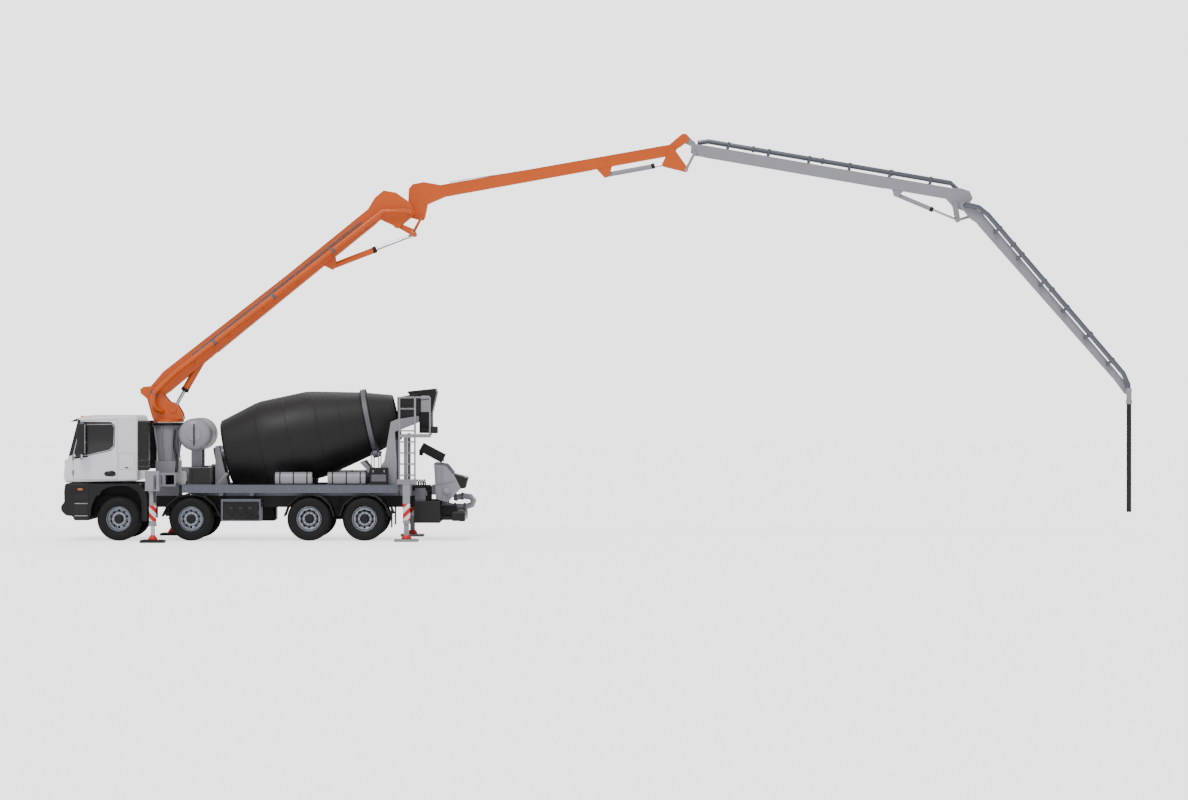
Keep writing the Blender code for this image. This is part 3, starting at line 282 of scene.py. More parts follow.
def rod_shape(start, end, radius, sides=16):
    start, end = Vector(start), Vector(end)
    return turned_shape([(0, radius), ((end - start).length, radius)], start, end - start, sides)


def piece(name, body, finish, shapes, bevel=0.0, replaces=(), segments=2):
    """One object made of loose shapes, which rides on a CAD body."""
    points, faces = [], []
    for shape_points, shape_faces in shapes:
        offset = len(points)
        points += [tuple(p) for p in shape_points]
        faces += [tuple(index + offset for index in face) for face in shape_faces]
    mesh = bpy.data.meshes.new(name)
    mesh.from_pydata(points, [], faces)
    mesh.validate()
    shell = bmesh.new()
    shell.from_mesh(mesh)
    bmesh.ops.recalc_face_normals(shell, faces=shell.faces)
    shell.to_mesh(mesh)
    shell.free()
    made = bpy.data.objects.new(name, mesh)
    bpy.context.scene.collection.objects.link(made)
    bpy.context.view_layer.objects.active = made
    mesh.shade_smooth()
    mesh.set_sharp_from_angle(angle=radians(35))
    if bevel:
        edges = made.modifiers.new("rounded_edges", "BEVEL")
        edges.width = bevel
        edges.segments = segments
        edges.limit_method = "ANGLE"
        edges.angle_limit = radians(35)
        edges.harden_normals = True
    mesh.materials.append(finish)
    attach(made, body)
    if replaces:
        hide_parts(*replaces)
    return made


PIVOT = {j["name"]: Vector(j["pos_m"]) for j in frame["record"]["behaviour"]["joints"] if "pos_m" in j}
HOSE_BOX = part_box("end_hose")
HOSE_RADIUS = round((HOSE_BOX[1].x - HOSE_BOX[0].x) / 2, 4)
HOSE_X, HOSE_Y = (HOSE_BOX[0].x + HOSE_BOX[1].x) / 2, (HOSE_BOX[0].y + HOSE_BOX[1].y) / 2
HOSE_LENGTH = HOSE_BOX[1].z - HOSE_BOX[0].z
HOSE_POINTS = 20

hose_line = bpy.data.curves.new("end_hose_rubber", "CURVE")
hose_line.dimensions = "3D"
hose_line.bevel_depth = HOSE_RADIUS
hose_line.bevel_resolution = 8
hose_line.use_fill_caps = True
hose_run = hose_line.splines.new("POLY")
hose_run.points.add(HOSE_POINTS - 1)
for number, point in enumerate(hose_run.points):
    point.co = (HOSE_X, HOSE_Y, HOSE_BOX[1].z - HOSE_LENGTH * number / (HOSE_POINTS - 1), 1.0)
hose = bpy.data.objects.new("end_hose_rubber", hose_line)
bpy.context.scene.collection.objects.link(hose)
hose_line.materials.append(HOSE_RUBBER)
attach(hose, "end_hose")
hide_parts("end_hose")

# ---- Floor and studio light
# A wide white floor under a bright white surround, with two broad soft suns above.
WHITE = bpy.data.materials.new("studio_white")
WHITE.use_nodes = True
WHITE.node_tree.nodes["Principled BSDF"].inputs["Base Color"].default_value = (0.90, 0.90, 0.91, 1.0)
WHITE.node_tree.nodes["Principled BSDF"].inputs["Roughness"].default_value = 0.75
FLOOR_GLOW = 1.4
glow = WHITE.node_tree.nodes.new("ShaderNodeMix")
glow.data_type = "RGBA"
glow.inputs["A"].default_value = (0.0, 0.0, 0.0, 1.0)
glow.inputs["B"].default_value = (1.0, 1.0, 1.0, 1.0)
WHITE.node_tree.links.new(
    WHITE.node_tree.nodes.new("ShaderNodeLightPath").outputs["Is Camera Ray"], glow.inputs["Factor"]
)
WHITE.node_tree.links.new(
    glow.outputs["Result"], WHITE.node_tree.nodes["Principled BSDF"].inputs["Emission Color"]
)
WHITE.node_tree.nodes["Principled BSDF"].inputs["Emission Strength"].default_value = FLOOR_GLOW
FLOOR_HALF = 150.0
sweep = bpy.data.meshes.new("floor")
sweep.from_pydata(
    [
        (-FLOOR_HALF, -FLOOR_HALF, 0), (FLOOR_HALF, -FLOOR_HALF, 0), (FLOOR_HALF, FLOOR_HALF, 0),
        (-FLOOR_HALF, FLOOR_HALF, 0)
    ],
    [],
    [(0, 1, 2, 3)],
)
sweep.materials.append(WHITE)
floor = bpy.data.objects.new("floor", sweep)
bpy.context.scene.collection.objects.link(floor)

world = bpy.data.worlds.new("studio")
bpy.context.scene.world = world
world.use_nodes = True
SURROUND_LIGHT, SURROUND_SEEN = 0.85, 2.75
surround = world.node_tree.nodes["Background"]
surround.inputs["Color"].default_value = (1.0, 1.0, 1.0, 1.0)
seen = world.node_tree.nodes.new("ShaderNodeLightPath").outputs["Is Camera Ray"]
strength = spread(world.node_tree, seen, 0.0, 1.0, SURROUND_LIGHT, SURROUND_SEEN)
world.node_tree.links.new(strength, surround.inputs["Strength"])


def soft_sun(name, place, strength, spread_angle):
    """A far, soft sun that shines from a place towards the machine."""
    lamp = bpy.data.lights.new(name, "SUN")
    lamp.energy = strength
    lamp.angle = radians(spread_angle)
    made = bpy.data.objects.new(name, lamp)
    made.location = place
    made.rotation_euler = (-Vector(place)).to_track_quat("-Z", "Y").to_euler()
    bpy.context.scene.collection.objects.link(made)


soft_sun("key_light", (-6, -16, 26), 1.7, 20)
soft_sun("back_light", (6, 20, 22), 0.6, 40)

# ---- Wheels
# Radial truck tyres on bright ten-hand-hole steel discs. The steered wheels are singles with the
# disc domed outwards, the driven ones are twins whose outer disc is dished deep inwards.
TYRE = dusty_finish("tyre_rubber", (0.04, 0.04, 0.042), 0.72, dust=0.15, grain=0.4)
RIM = dusty_finish("polished_disc", (0.66, 0.68, 0.72), 0.26, dust=0.25, grain=0.05, metallic=0.9)
HUB = dusty_finish("hub_black", (0.10, 0.10, 0.105), 0.38, dust=0.2, grain=0.1, metallic=0.2)
TYRE_STEPS = 108
TREAD_GROOVE = 0.012
TYRE_INSET = 0.02  # a steered tyre is this much narrower on its inner side
TWIN_HALF_GAP = 0.018  # from the middle of a twin wheel to either of its tyres
STUDS = 10
SIDES = (("left", -1), ("right", 1))


def tyre_shapes(centre, side, inner, outer):
    """One tyre between two distances from the truck's middle, with grooves and shoulder blocks."""
    width = outer - inner
    radius = centre.z
    tread = []
    for share in (0.23, 0.36, 0.48, 0.52, 0.64, 0.77):
        tread += [(share - 0.015, radius), (share, radius - TREAD_GROOVE), (share + 0.015, radius)]
    shoulder = [(0.0, 0.40), (0.01, 0.465), (0.07, radius - 0.035), (0.19, radius - 0.002)]
    profile = [(0.16, 0.292), (0.05, 0.32)] + shoulder
    profile += tread + [
        (1.0 - share, r) for share, r in reversed(shoulder)
    ] + [(0.95, 0.32), (0.84, 0.292)]
    start = Vector((centre.x, side * inner, centre.z))
    points, faces = turned_shape(
        [(w * width, r) for w, r in profile], start, (0, side, 0), TYRE_STEPS, False
    )
    # every third step of the shoulders is cut down between two blocks
    for step in range(2, TYRE_STEPS, 3):
        for ring in (4, 5, len(profile) - 6, len(profile) - 5):
            place = Vector(points[ring * TYRE_STEPS + step])
            middle = Vector((centre.x, place.y, centre.z))
            points[ring * TYRE_STEPS + step] = middle + (place - middle) * (1 - TREAD_GROOVE / radius)
    return [(points, faces)]


def rim_shapes(centre, side, inner, outer, domed):
    """Rim bed, disc with round hand holes, and the flange that the bead sits on."""
    start = Vector((centre.x, side * inner, centre.z))
    width = outer - inner
    bed = [
        (0.012, 0.30), (0.02, 0.285), (0.05, 0.275), (width - 0.05, 0.275), (width - 0.02, 0.285),
        (width - 0.008, 0.302)
    ]
    bed += [
        (width - 0.006, 0.296), (width - 0.03, 0.272), (width - 0.06, 0.262), (0.06, 0.262), (0.02, 0.275)
    ]
    shapes = [turned_shape(bed, start, (0, side, 0), 60, False)]
    reach = width - 0.055 if domed else width - 0.17
    lip = reach - 0.06 if domed else reach + 0.075
    disc = [(0.115, reach), (0.165, reach), (0.185, (reach + lip) / 2), (0.235, lip), (0.262, lip)]
    steps = STUDS * 6
    front = [
        [
            start + Vector((cos(tau * k / steps) * r, side * d, sin(tau * k / steps) * r))
            for k in range(steps)
        ]
        for r, d in disc
    ]
    points, faces = rings_shape(front, False)
    # the hand holes take the middle of each tenth part of the sloping band
    open_faces = {2 * steps + k for k in range(steps) if k % 6 in (2, 3)}
    faces = [face for n, face in enumerate(faces) if n not in open_faces]
    shapes.append((points, faces))
    return shapes, reach


def hub_shapes(centre, side, face):
    """Hub cap in steps, with the ring of wheel nuts round it."""
    start = Vector((centre.x, side * face, centre.z))
    cap = [
        (-0.02, 0.118), (0.012, 0.118), (0.022, 0.108), (0.040, 0.100), (0.075, 0.094), (0.085, 0.082),
        (0.088, 0.0)
    ]
    shapes = [turned_shape(cap, start, (0, side, 0), 40)]
    nuts = []
    for k in range(STUDS):
        turn = tau * (k + 0.5) / STUDS
        place = start + Vector((cos(turn) * 0.141, 0, sin(turn) * 0.141))
        nuts.append(
            turned_shape(
                [(-0.01, 0.019), (0.004, 0.019), (0.006, 0.016), (0.026, 0.015), (0.030, 0.010)], place,
                (0, side, 0), 6
            )
        )
        nuts.append(
            turned_shape([(0.02, 0.008), (0.042, 0.008), (0.044, 0.006)], place, (0, side, 0), 10)
        )
    return shapes, nuts


for axle in (1, 2, 3, 4):
    for side_name, side in SIDES:
        node = f"wheel_{axle}_{side_name}"
        low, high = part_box(node)
        centre = (low + high) / 2
        inner, outer = sorted((abs(low.y), abs(high.y)))
        if axle < 3:
            tyres = tyre_shapes(centre, side, inner + TYRE_INSET, outer)
            rims, disc_face = rim_shapes(centre, side, inner, outer, True)
            disc_face += inner
        else:
            single = (outer - inner) / 2 - TWIN_HALF_GAP
            tyres = tyre_shapes(centre, side, inner, inner + single)
            tyres += tyre_shapes(centre, side, outer - single, outer)
            rims, disc_face = rim_shapes(centre, side, outer - single, outer, False)
            rims += rim_shapes(centre, side, inner, inner + single, False)[0]
            disc_face += outer - single
        piece(f"{node}_tyre", node, TYRE, tyres, replaces=[node])
        piece(f"{node}_disc", node, RIM, rims)
        hub, nuts = hub_shapes(centre, side, disc_face)
        piece(f"{node}_hub", node, HUB, hub)
        piece(f"{node}_nuts", node, ZINC, nuts)

# ---- Painted steel and plastic of the machine's own nodes
# Two-pack paint on welded steel: orange on the inner boom, light grey on the outer boom and the
# superstructure, charcoal on the drum; the chassis is black, the cab's lower front bare plastic.
ORANGE = dusty_finish("boom_orange", (0.83, 0.34, 0.0), 0.36, dust=0.12, grain=0.05, coat=0.35)
LIGHT_GREY = dusty_finish("silver_grey", (0.58, 0.58, 0.61), 0.40, dust=0.18, grain=0.06, coat=0.15)
CHARCOAL = dusty_finish("drum_charcoal", (0.10, 0.098, 0.105), 0.50, dust=0.10, grain=0.06, coat=0.0)
CAB_WHITE = dusty_finish("cab_white", (0.93, 0.92, 0.96), 0.22, dust=0.10, grain=0.02, coat=0.6)
CHASSIS_BLACK = dusty_finish("chassis_black", (0.045, 0.045, 0.05), 0.48, dust=0.45, grain=0.12)
PLASTIC = dusty_finish("moulded_plastic", (0.095, 0.095, 0.10), 0.58, dust=0.30, grain=0.5)
ALLOY = dusty_finish("anodised_alloy", (0.42, 0.43, 0.47), 0.36, dust=0.22, grain=0.12, metallic=0.75)
CLOTH = dusty_finish("seat_cloth", (0.16, 0.16, 0.17), 0.92, dust=0.05, grain=1.0)
CAST = dusty_finish("cast_grey", (0.40, 0.40, 0.43), 0.52, dust=0.30, grain=0.6, metallic=0.3)
FINISH_OF_SLOT = {
    "orange_paint": ORANGE,
    "light_grey_paint": LIGHT_GREY,
    "charcoal_paint": CHARCOAL,
    "white_paint": CAB_WHITE,
    "black_steel": CHASSIS_BLACK,
    "dark_plastic": PLASTIC,
    "aluminium": ALLOY,
    "chrome": CHROME,
    "rubber": HOSE_RUBBER,
    "tyre": TYRE,
    "seat_cloth": CLOTH,
}
for part in frame["record"]["subparts"]:
    finish = FINISH_OF_SLOT[part["material_slot"]]
    mesh = frame["nodes"][part["node"]].data
    for place in range(len(mesh.materials)):
        mesh.materials[place] = finish

# ---- Cab
# A steel cab shell with hinged doors. Tinted safety glass is bonded in black ceramic edges, the
# pillar trims, mirrors, grille, steps and bumper are moulded plastic.
def glass_finish(name, tint, roughness=0.03):
    material = bpy.data.materials.new(name)
    material.use_nodes = True
    shader = material.node_tree.nodes["Principled BSDF"]
    shader.inputs["Base Color"].default_value = linear(*tint)
    shader.inputs["Roughness"].default_value = roughness
    shader.inputs["IOR"].default_value = 1.5
    shader.inputs["Alpha"].default_value = 0.90
    shader.inputs["Coat Weight"].default_value = 0.5
    return material


TINTED = glass_finish("tinted_glass", (0.05, 0.055, 0.06))
MIRROR = dusty_finish("mirror_glass", (0.75, 0.77, 0.80), 0.06, dust=0.03, grain=0.0, metallic=1.0)
SATIN_BLACK = dusty_finish("satin_black", (0.075, 0.075, 0.08), 0.34, dust=0.10, grain=0.10, coat=0.2)
LENS_WHITE = dusty_finish("clear_lens", (0.82, 0.84, 0.88), 0.10, dust=0.05, grain=0.0, coat=1.0)
LENS_AMBER = dusty_finish("amber_lens", (0.88, 0.42, 0.06), 0.15, dust=0.05, grain=0.0, coat=1.0)
LENS_RED = dusty_finish("red_lens", (0.72, 0.06, 0.05), 0.15, dust=0.05, grain=0.0, coat=1.0)
CAB_LOW, CAB_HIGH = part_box("cab_shell")
SIDE_Y = CAB_HIGH.y
SCREEN_FOOT, SCREEN_HEAD = (CAB_LOW.x + 0.12, 2.06), (CAB_LOW.x + 0.36, 2.99)
SIDE_WINDOW = [
    (-12.76, 2.05), (-12.50, 2.09), (-11.97, 2.21), (-11.87, 2.31), (-11.85, 2.79), (-11.92, 2.85),
    (-12.60, 2.84)
]


def on_screen(share, out):
    """A point (x, z) up the windscreen, moved out from its face."""
    run, rise = SCREEN_HEAD[0] - SCREEN_FOOT[0], SCREEN_HEAD[1] - SCREEN_FOOT[1]
    size = (run**2 + rise**2) ** 0.5
    return (
        SCREEN_FOOT[0] + run * share - rise / size * out, SCREEN_FOOT[1] + rise * share + run / size * out
    )


def screen_sheet(low, high, y, out, thick):
    outline = [
        on_screen(low, out), on_screen(high, out), on_screen(high, out - thick),
        on_screen(low, out - thick)
    ]
    return slab_shape(outline, y)


def grown(outline, gap):
    """An outline moved outwards from its middle by about a gap."""
    middle = Vector(
        (sum(p[0] for p in outline) / len(outline), sum(p[1] for p in outline) / len(outline))
    )
    return [tuple(Vector(p) + (Vector(p) - middle).normalized() * gap) for p in outline]


def frame_shape(outline, width, y):
    """A flat ring round an outline."""
    outer = grown(outline, width)
    low, high = sorted(y)
    loops = [
        [(p[0], level, p[1]) for p in loop]
        for loop, level in ((outline, low), (outer, low), (outer, high), (outline, high))
    ]
    points, faces = rings_shape(loops + [loops[0]], False)
    return points, faces


piece(
    "windscreen", "chassis", TINTED, [screen_sheet(0.07, 0.90, (-1.0, 1.0), -0.015, 0.012)], bevel=0.004
)
trims = [
    screen_sheet(-0.02, 0.07, (-1.06, 1.06), 0.004, 0.02),
    screen_sheet(0.90, 0.97, (-1.02, 1.02), 0.004, 0.02),
    screen_sheet(0.05, 0.93, (-1.075, -0.985), 0.006, 0.024),
    screen_sheet(0.05, 0.93, (0.985, 1.075), 0.006, 0.024),
]
piece("windscreen_edge", "chassis", SATIN_BLACK, trims, bevel=0.004)
piece(
    "rear_window", "chassis", TINTED,
    [box_shape((CAB_HIGH.x - 0.035, CAB_HIGH.x - 0.025), (-0.54, 0.54), (2.26, 2.74))], bevel=0.002
)

# sun visor and grille slats across the nose, with round-cornered lamps below
visor = [on_screen(0.93, 0.015), on_screen(0.86, 0.16), on_screen(0.875, 0.17), on_screen(0.99, 0.035)]
piece("sun_visor", "chassis", SATIN_BLACK, [slab_shape(visor, (-1.04, 1.04))], bevel=0.01)
nose_x = CAB_LOW.x
grille = [box_shape((nose_x - 0.008, nose_x + 0.05), (-0.80, 0.80), (1.50, 1.96))]
slats = []
for level in range(4):
    z = 1.55 + level * 0.105
    slats.append(
        slab_shape(
            [
                (nose_x + 0.02, z + 0.07), (nose_x - 0.022, z + 0.055), (nose_x - 0.026, z + 0.02),
                (nose_x + 0.02, z)
            ],
            (-0.76, 0.76)
        )
    )
piece("grille", "chassis", SATIN_BLACK, grille, bevel=0.012)
piece("grille_slats", "chassis", PLASTIC, slats, bevel=0.006)
bumper_low, bumper_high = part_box("cab_front")
lamps, bowls = [], []
for side_name, side in SIDES:
    lamps.append(
        box_shape((bumper_low.x - 0.012, bumper_low.x + 0.06), (side * 0.72, side * 1.10), (0.74, 0.86))
    )
    for y in (0.80, 0.92, 1.04):
        bowls.append(
            turned_shape(
                [(0.0, 0.048), (-0.018, 0.046), (-0.024, 0.03)], (bumper_low.x, side * y, 0.80),
                (1, 0, 0), 20
            )
        )
piece("headlamp_bezels", "chassis", SATIN_BLACK, lamps, bevel=0.012)
piece("headlamps", "chassis", LENS_WHITE, bowls)
bumper_trim = [box_shape((bumper_low.x + 0.06, bumper_low.x + 0.12), (-1.20, 1.20), (1.02, 1.035))]
bumper_trim += [
    box_shape((bumper_low.x - 0.006, bumper_low.x + 0.05), (-0.62, 0.62), (z, z + 0.018))
    for z in (0.765, 0.80, 0.835)
]
piece("bumper_slots", "chassis", SATIN_BLACK, bumper_trim, bevel=0.004)
piece(
    "number_plate_blank", "chassis", CAB_WHITE,
    [box_shape((bumper_low.x - 0.012, bumper_low.x + 0.03), (-0.26, 0.26), (0.66, 0.735))], bevel=0.006
)
wipers = []
for y in (-0.62, 0.02, 0.62):
    foot, mid, tip = on_screen(0.02, 0.03), on_screen(0.10, 0.05), on_screen(0.62, 0.012)
    wipers.append(
        pipe_shape(
            [(foot[0], y, foot[1]), (mid[0], y + 0.05, mid[1]), (tip[0], y + 0.34, tip[1])], 0.008, 6
        )
    )
    low_end, high_end = on_screen(0.30, 0.006), on_screen(0.88, 0.006)
    wipers.append(
        pipe_shape([(low_end[0], y + 0.20, low_end[1]), (high_end[0], y + 0.42, high_end[1])], 0.007, 6)
    )
piece("wipers", "chassis", SATIN_BLACK, wipers)

# roof: a gutter along each side and two clearance lamps
roof = [
    box_shape((-12.62, -11.42), (s * (SIDE_Y - 0.10), s * (SIDE_Y - 0.075)), (3.0, 3.052))
    for s in (-1, 1)
]
piece("roof_gutters", "chassis", CAB_WHITE, roof, bevel=0.006)
marker = [box_shape((-12.70, -12.62), (s * 0.86, s * 0.98), (2.99, 3.045)) for s in (-1, 1)]
piece("clearance_lamps", "chassis", LENS_AMBER, marker, bevel=0.012)

for side_name, side in SIDES:
    door = f"door_{side_name}"
    face = side * SIDE_Y
    skin = (face - side * 0.012, face + side * 0.006)
    glass = (face - side * 0.034, face - side * 0.026)
    piece(f"{door}_glass", door, TINTED, [slab_shape(grown(SIDE_WINDOW, 0.004), glass)])
    pillar = [
        (-12.84, 2.14), (-12.79, 2.06), (-12.72, 2.10), (-12.575, 2.86), (-11.92, 2.87), (-11.92, 2.90),
        (-12.665, 2.905)
    ]
    black = [frame_shape(SIDE_WINDOW, 0.022, skin), slab_shape(pillar, skin)]
    black.append(slab_shape([(-12.83, 2.06), (-12.84, 2.00), (-12.50, 2.045), (-12.50, 2.07)], skin))
    piece(f"{door}_window_edge", door, SATIN_BLACK, black, bevel=0.002)
    # pull handle in a dark teardrop recess
    handle = [
        (-12.12, 1.63), (-12.07, 1.69), (-11.90, 1.71), (-11.83, 1.68), (-11.82, 1.60), (-11.90, 1.57),
        (-12.06, 1.58)
    ]
    grip = [slab_shape(handle, (face, face + side * 0.012))]
    grip.append(
        pipe_shape(
            [
                (-12.07, face + side * 0.01, 1.655), (-12.03, face + side * 0.034, 1.665),
                (-11.92, face + side * 0.034, 1.675), (-11.86, face + side * 0.01, 1.67)
            ],
            0.012, 8, True
        )
    )
    piece(f"{door}_handle", door, SATIN_BLACK, grip, bevel=0.004)
    # hinges on the leading edge, the mirror housing over its front pillar, its glasses and arms
    hinge = [
        rod_shape((-12.865, face + side * 0.008, z), (-12.865, face + side * 0.008, z + 0.12), 0.014)
        for z in (1.60, 1.96)
    ]
    piece(f"{door}_hinges", door, SATIN_BLACK, hinge)
    mirror_low, mirror_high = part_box(door)
    mirror_edge = max(abs(mirror_low.y), abs(mirror_high.y))
    back_y = (side * (mirror_edge - 0.24), side * (mirror_edge - 0.02))
    cover = [box_shape((-12.736, -12.545), (side * 1.226, side * 1.474), (2.114, 2.866))]
    piece(f"{door}_mirror_cover", door, SATIN_BLACK, cover, bevel=0.022, segments=3)
    front_pillar = [(-12.972, 2.07), (-12.874, 2.09), (-12.675, 2.93), (-12.735, 2.975)]
    pillar_trim = [slab_shape(front_pillar, (face - side * 0.004, face + side * 0.004))]
    piece(f"front_pillar_{side_name}", "chassis", SATIN_BLACK, pillar_trim, bevel=0.002)
    glasses = [
        box_shape((-12.543, -12.534), back_y, (2.42, 2.83)),
        box_shape((-12.543, -12.534), back_y, (2.15, 2.38))
    ]
    piece(f"{door}_mirror_glass", door, MIRROR, glasses, bevel=0.003)
    arms = [
        pipe_shape(
            [
                (-12.64, face - side * 0.01, z), (-12.66, face + side * 0.05, z + 0.03),
                (-12.64, face + side * 0.14, z + 0.02)
            ],
            0.016, 8, True
        )
        for z in (1.98, 2.86)
    ]
    piece(f"{door}_mirror_arms", door, SATIN_BLACK, arms)
    # locker flap behind the door, seam lines, and the lower front's step wells
    locker = [(-11.74, 1.74), (-11.37, 1.74), (-11.37, 2.14), (-11.74, 2.14)]
    piece(
        f"locker_seam_{side_name}", "chassis", SATIN_BLACK,
        [frame_shape(locker, 0.006, (face, face + side * 0.003))]
    )
    latch = [box_shape((-11.60, -11.52), (face, face + side * 0.012), (1.77, 1.80))]
    piece(f"locker_latch_{side_name}", "chassis", SATIN_BLACK, latch, bevel=0.004)
    low_y = bumper_high.y * side
    wells = [
        slab_shape(
            [(-12.84, 0.66), (-12.56, 0.66), (-12.50, 0.90), (-12.82, 0.90)],
            (low_y - side * 0.004, low_y + side * 0.003)
        )
    ]
    wells.append(
        slab_shape(
            [(-12.82, 1.02), (-12.53, 1.02), (-12.47, 1.14), (-12.80, 1.14)],
            (low_y - side * 0.004, low_y + side * 0.003)
        )
    )
    piece(f"step_wells_{side_name}", "chassis", SATIN_BLACK, wells, bevel=0.001)
    treads = [
        box_shape((-12.82, -12.50), (low_y - side * 0.16, low_y + side * 0.006), (z, z + 0.022))
        for z in (0.60, 0.90)
    ]
    piece(f"step_treads_{side_name}", "chassis", ZINC, treads, bevel=0.004)
    lip = []
    arch = [
        (-12.44, 0.62), (-12.42, 0.82), (-12.29, 1.11), (-12.05, 1.30), (-11.80, 1.355), (-11.50, 1.345),
        (-11.27, 1.21), (-11.175, 1.00), (-11.15, 0.50)
    ]
    lip.append(pipe_shape([(x, low_y - side * 0.012, z) for x, z in arch], 0.017, 8, True))
    lip.append(
        box_shape(
            (bumper_low.x + 0.09, -12.46), (low_y - side * 0.012, low_y + side * 0.002), (1.175, 1.19)
        )
    )
    lip.append(
        box_shape(
            (bumper_low.x + 0.09, -12.46), (low_y - side * 0.012, low_y + side * 0.002), (0.945, 0.96)
        )
    )
    piece(f"arch_lip_{side_name}", "chassis", PLASTIC, lip)
    reflector = [box_shape((-12.74, -12.62), (low_y, low_y + side * 0.008), (1.24, 1.28))]
    piece(f"side_reflector_{side_name}", "chassis", LENS_AMBER, reflector, bevel=0.003)

# intake stack and silencer in the gap behind the cab
stack = []
for side in (-1, 1):
    stack.append(box_shape((-11.27, -11.03), (side * 0.74, side * 1.12), (1.72, 2.92)))
    stack += [
        box_shape((-11.275, -11.025), (side * 0.76, side * 1.125), (z, z + 0.02))
        for z in [1.80 + 0.075 * n for n in range(14)]
    ]
piece("intake_stacks", "chassis", SATIN_BLACK, stack, bevel=0.01)

# ---- Front outriggers
# Sliding beams in the pedestal's channels. A jack leg stands at the end of each, banded with
# red and white reflective sheet, over a chromed rod, a red cone and a black ground pad.
def stripe_finish(name, slope, width):
    """Red and white slanting bands across the leg, on retroreflective sheet."""
    material = dusty_finish(name, (0.9, 0.9, 0.9), 0.30, dust=0.10, grain=0.3)
    tree = material.node_tree
    life = next(node for node in tree.nodes if node.type == "GROUP")
    axes = tree.nodes.new("ShaderNodeSeparateXYZ")
    tree.links.new(tree.nodes.new("ShaderNodeTexCoord").outputs["Object"], axes.inputs["Vector"])
    slanted = calculate(
        tree, "ADD", axes.outputs["Z"], calculate(tree, "MULTIPLY", axes.outputs["X"], slope)
    )
    turn = calculate(tree, "FRACT", calculate(tree, "DIVIDE", slanted, width), 0.0)
    red = calculate(tree, "GREATER_THAN", turn, 0.5)
    tree.links.new(
        blend_colour(tree, red, linear(0.93, 0.92, 0.94), linear(0.80, 0.07, 0.07)), life.inputs["Colour"]
    )
    return material


STRIPES = stripe_finish("reflective_stripes", 1.0, 0.26)
STRIPES_REAR = stripe_finish("reflective_stripes_rear", -1.0, 0.26)
SIGNAL_RED = dusty_finish("signal_red", (0.80, 0.13, 0.09), 0.45, dust=0.15, grain=0.2)
LEG_RADIUS = 0.085
for side_name, side in SIDES:
    beam, foot = f"front_beam_{side_name}", f"front_foot_{side_name}"
    pad_low, pad_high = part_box(foot)
    leg = (pad_low + pad_high) / 2
    band = turned_shape(
        [(0.0, LEG_RADIUS), (0.0, LEG_RADIUS + 0.003), (0.38, LEG_RADIUS + 0.003), (0.38, LEG_RADIUS)],
        (leg.x, leg.y, 0.52), (0, 0, 1), 40, False
    )
    piece(f"{beam}_stripes", beam, STRIPES, [band])
    collars = [
        turned_shape(
            [(0.0, LEG_RADIUS), (0.0, 0.098), (0.06, 0.098), (0.07, LEG_RADIUS)], (leg.x, leg.y, 0.402),
            (0, 0, 1), 40, False
        )
    ]
    collars.append(
        turned_shape(
            [(0.0, LEG_RADIUS), (0.01, 0.10), (0.05, 0.10), (0.06, LEG_RADIUS)], (leg.x, leg.y, 1.19),
            (0, 0, 1), 40, False
        )
    )
    collars.append(
        box_shape((leg.x - 0.16, leg.x + 0.16), (leg.y + side * 0.145, leg.y + side * 0.16), (1.30, 1.68))
    )
    piece(f"{beam}_collars", beam, LIGHT_GREY, collars, bevel=0.004)
    lines = [
        pipe_shape(
            [
                (leg.x + dx, leg.y + side * 0.10, 1.70), (leg.x + dx, leg.y + side * 0.155, 1.62),
                (leg.x + dx, leg.y + side * 0.165, 1.35), (leg.x + dx * 0.8, leg.y + side * 0.10, 1.18),
                (leg.x + dx * 0.8, leg.y + side * 0.09, 0.96)
            ],
            0.011, 8, True
        )
        for dx in (0.05, 0.09)
    ]
    piece(f"{beam}_hoses", beam, HOSE_RUBBER, lines)
    cone = turned_shape(
        [(0.0, 0.10), (0.02, 0.115), (0.045, 0.112), (0.115, 0.062), (0.13, 0.054)],
        (leg.x, leg.y, 0.055), (0, 0, 1), 36
    )
    piece(f"{foot}_cone", foot, SIGNAL_RED, [cone])
    chromed = turned_shape([(0.0, 0.051), (0.55, 0.051)], (leg.x, leg.y, 0.17), (0, 0, 1), 36)
    piece(f"{foot}_rod", foot, CHROME, [chromed])
    ribs = [
        box_shape((leg.x + a, leg.x + a + 0.02), (leg.y - 0.22, leg.y + 0.22), (0.058, 0.075))
        for a in (-0.22, -0.16, 0.14, 0.20)
    ]
    piece(f"{foot}_pad_ribs", foot, PLASTIC, ribs, bevel=0.004)

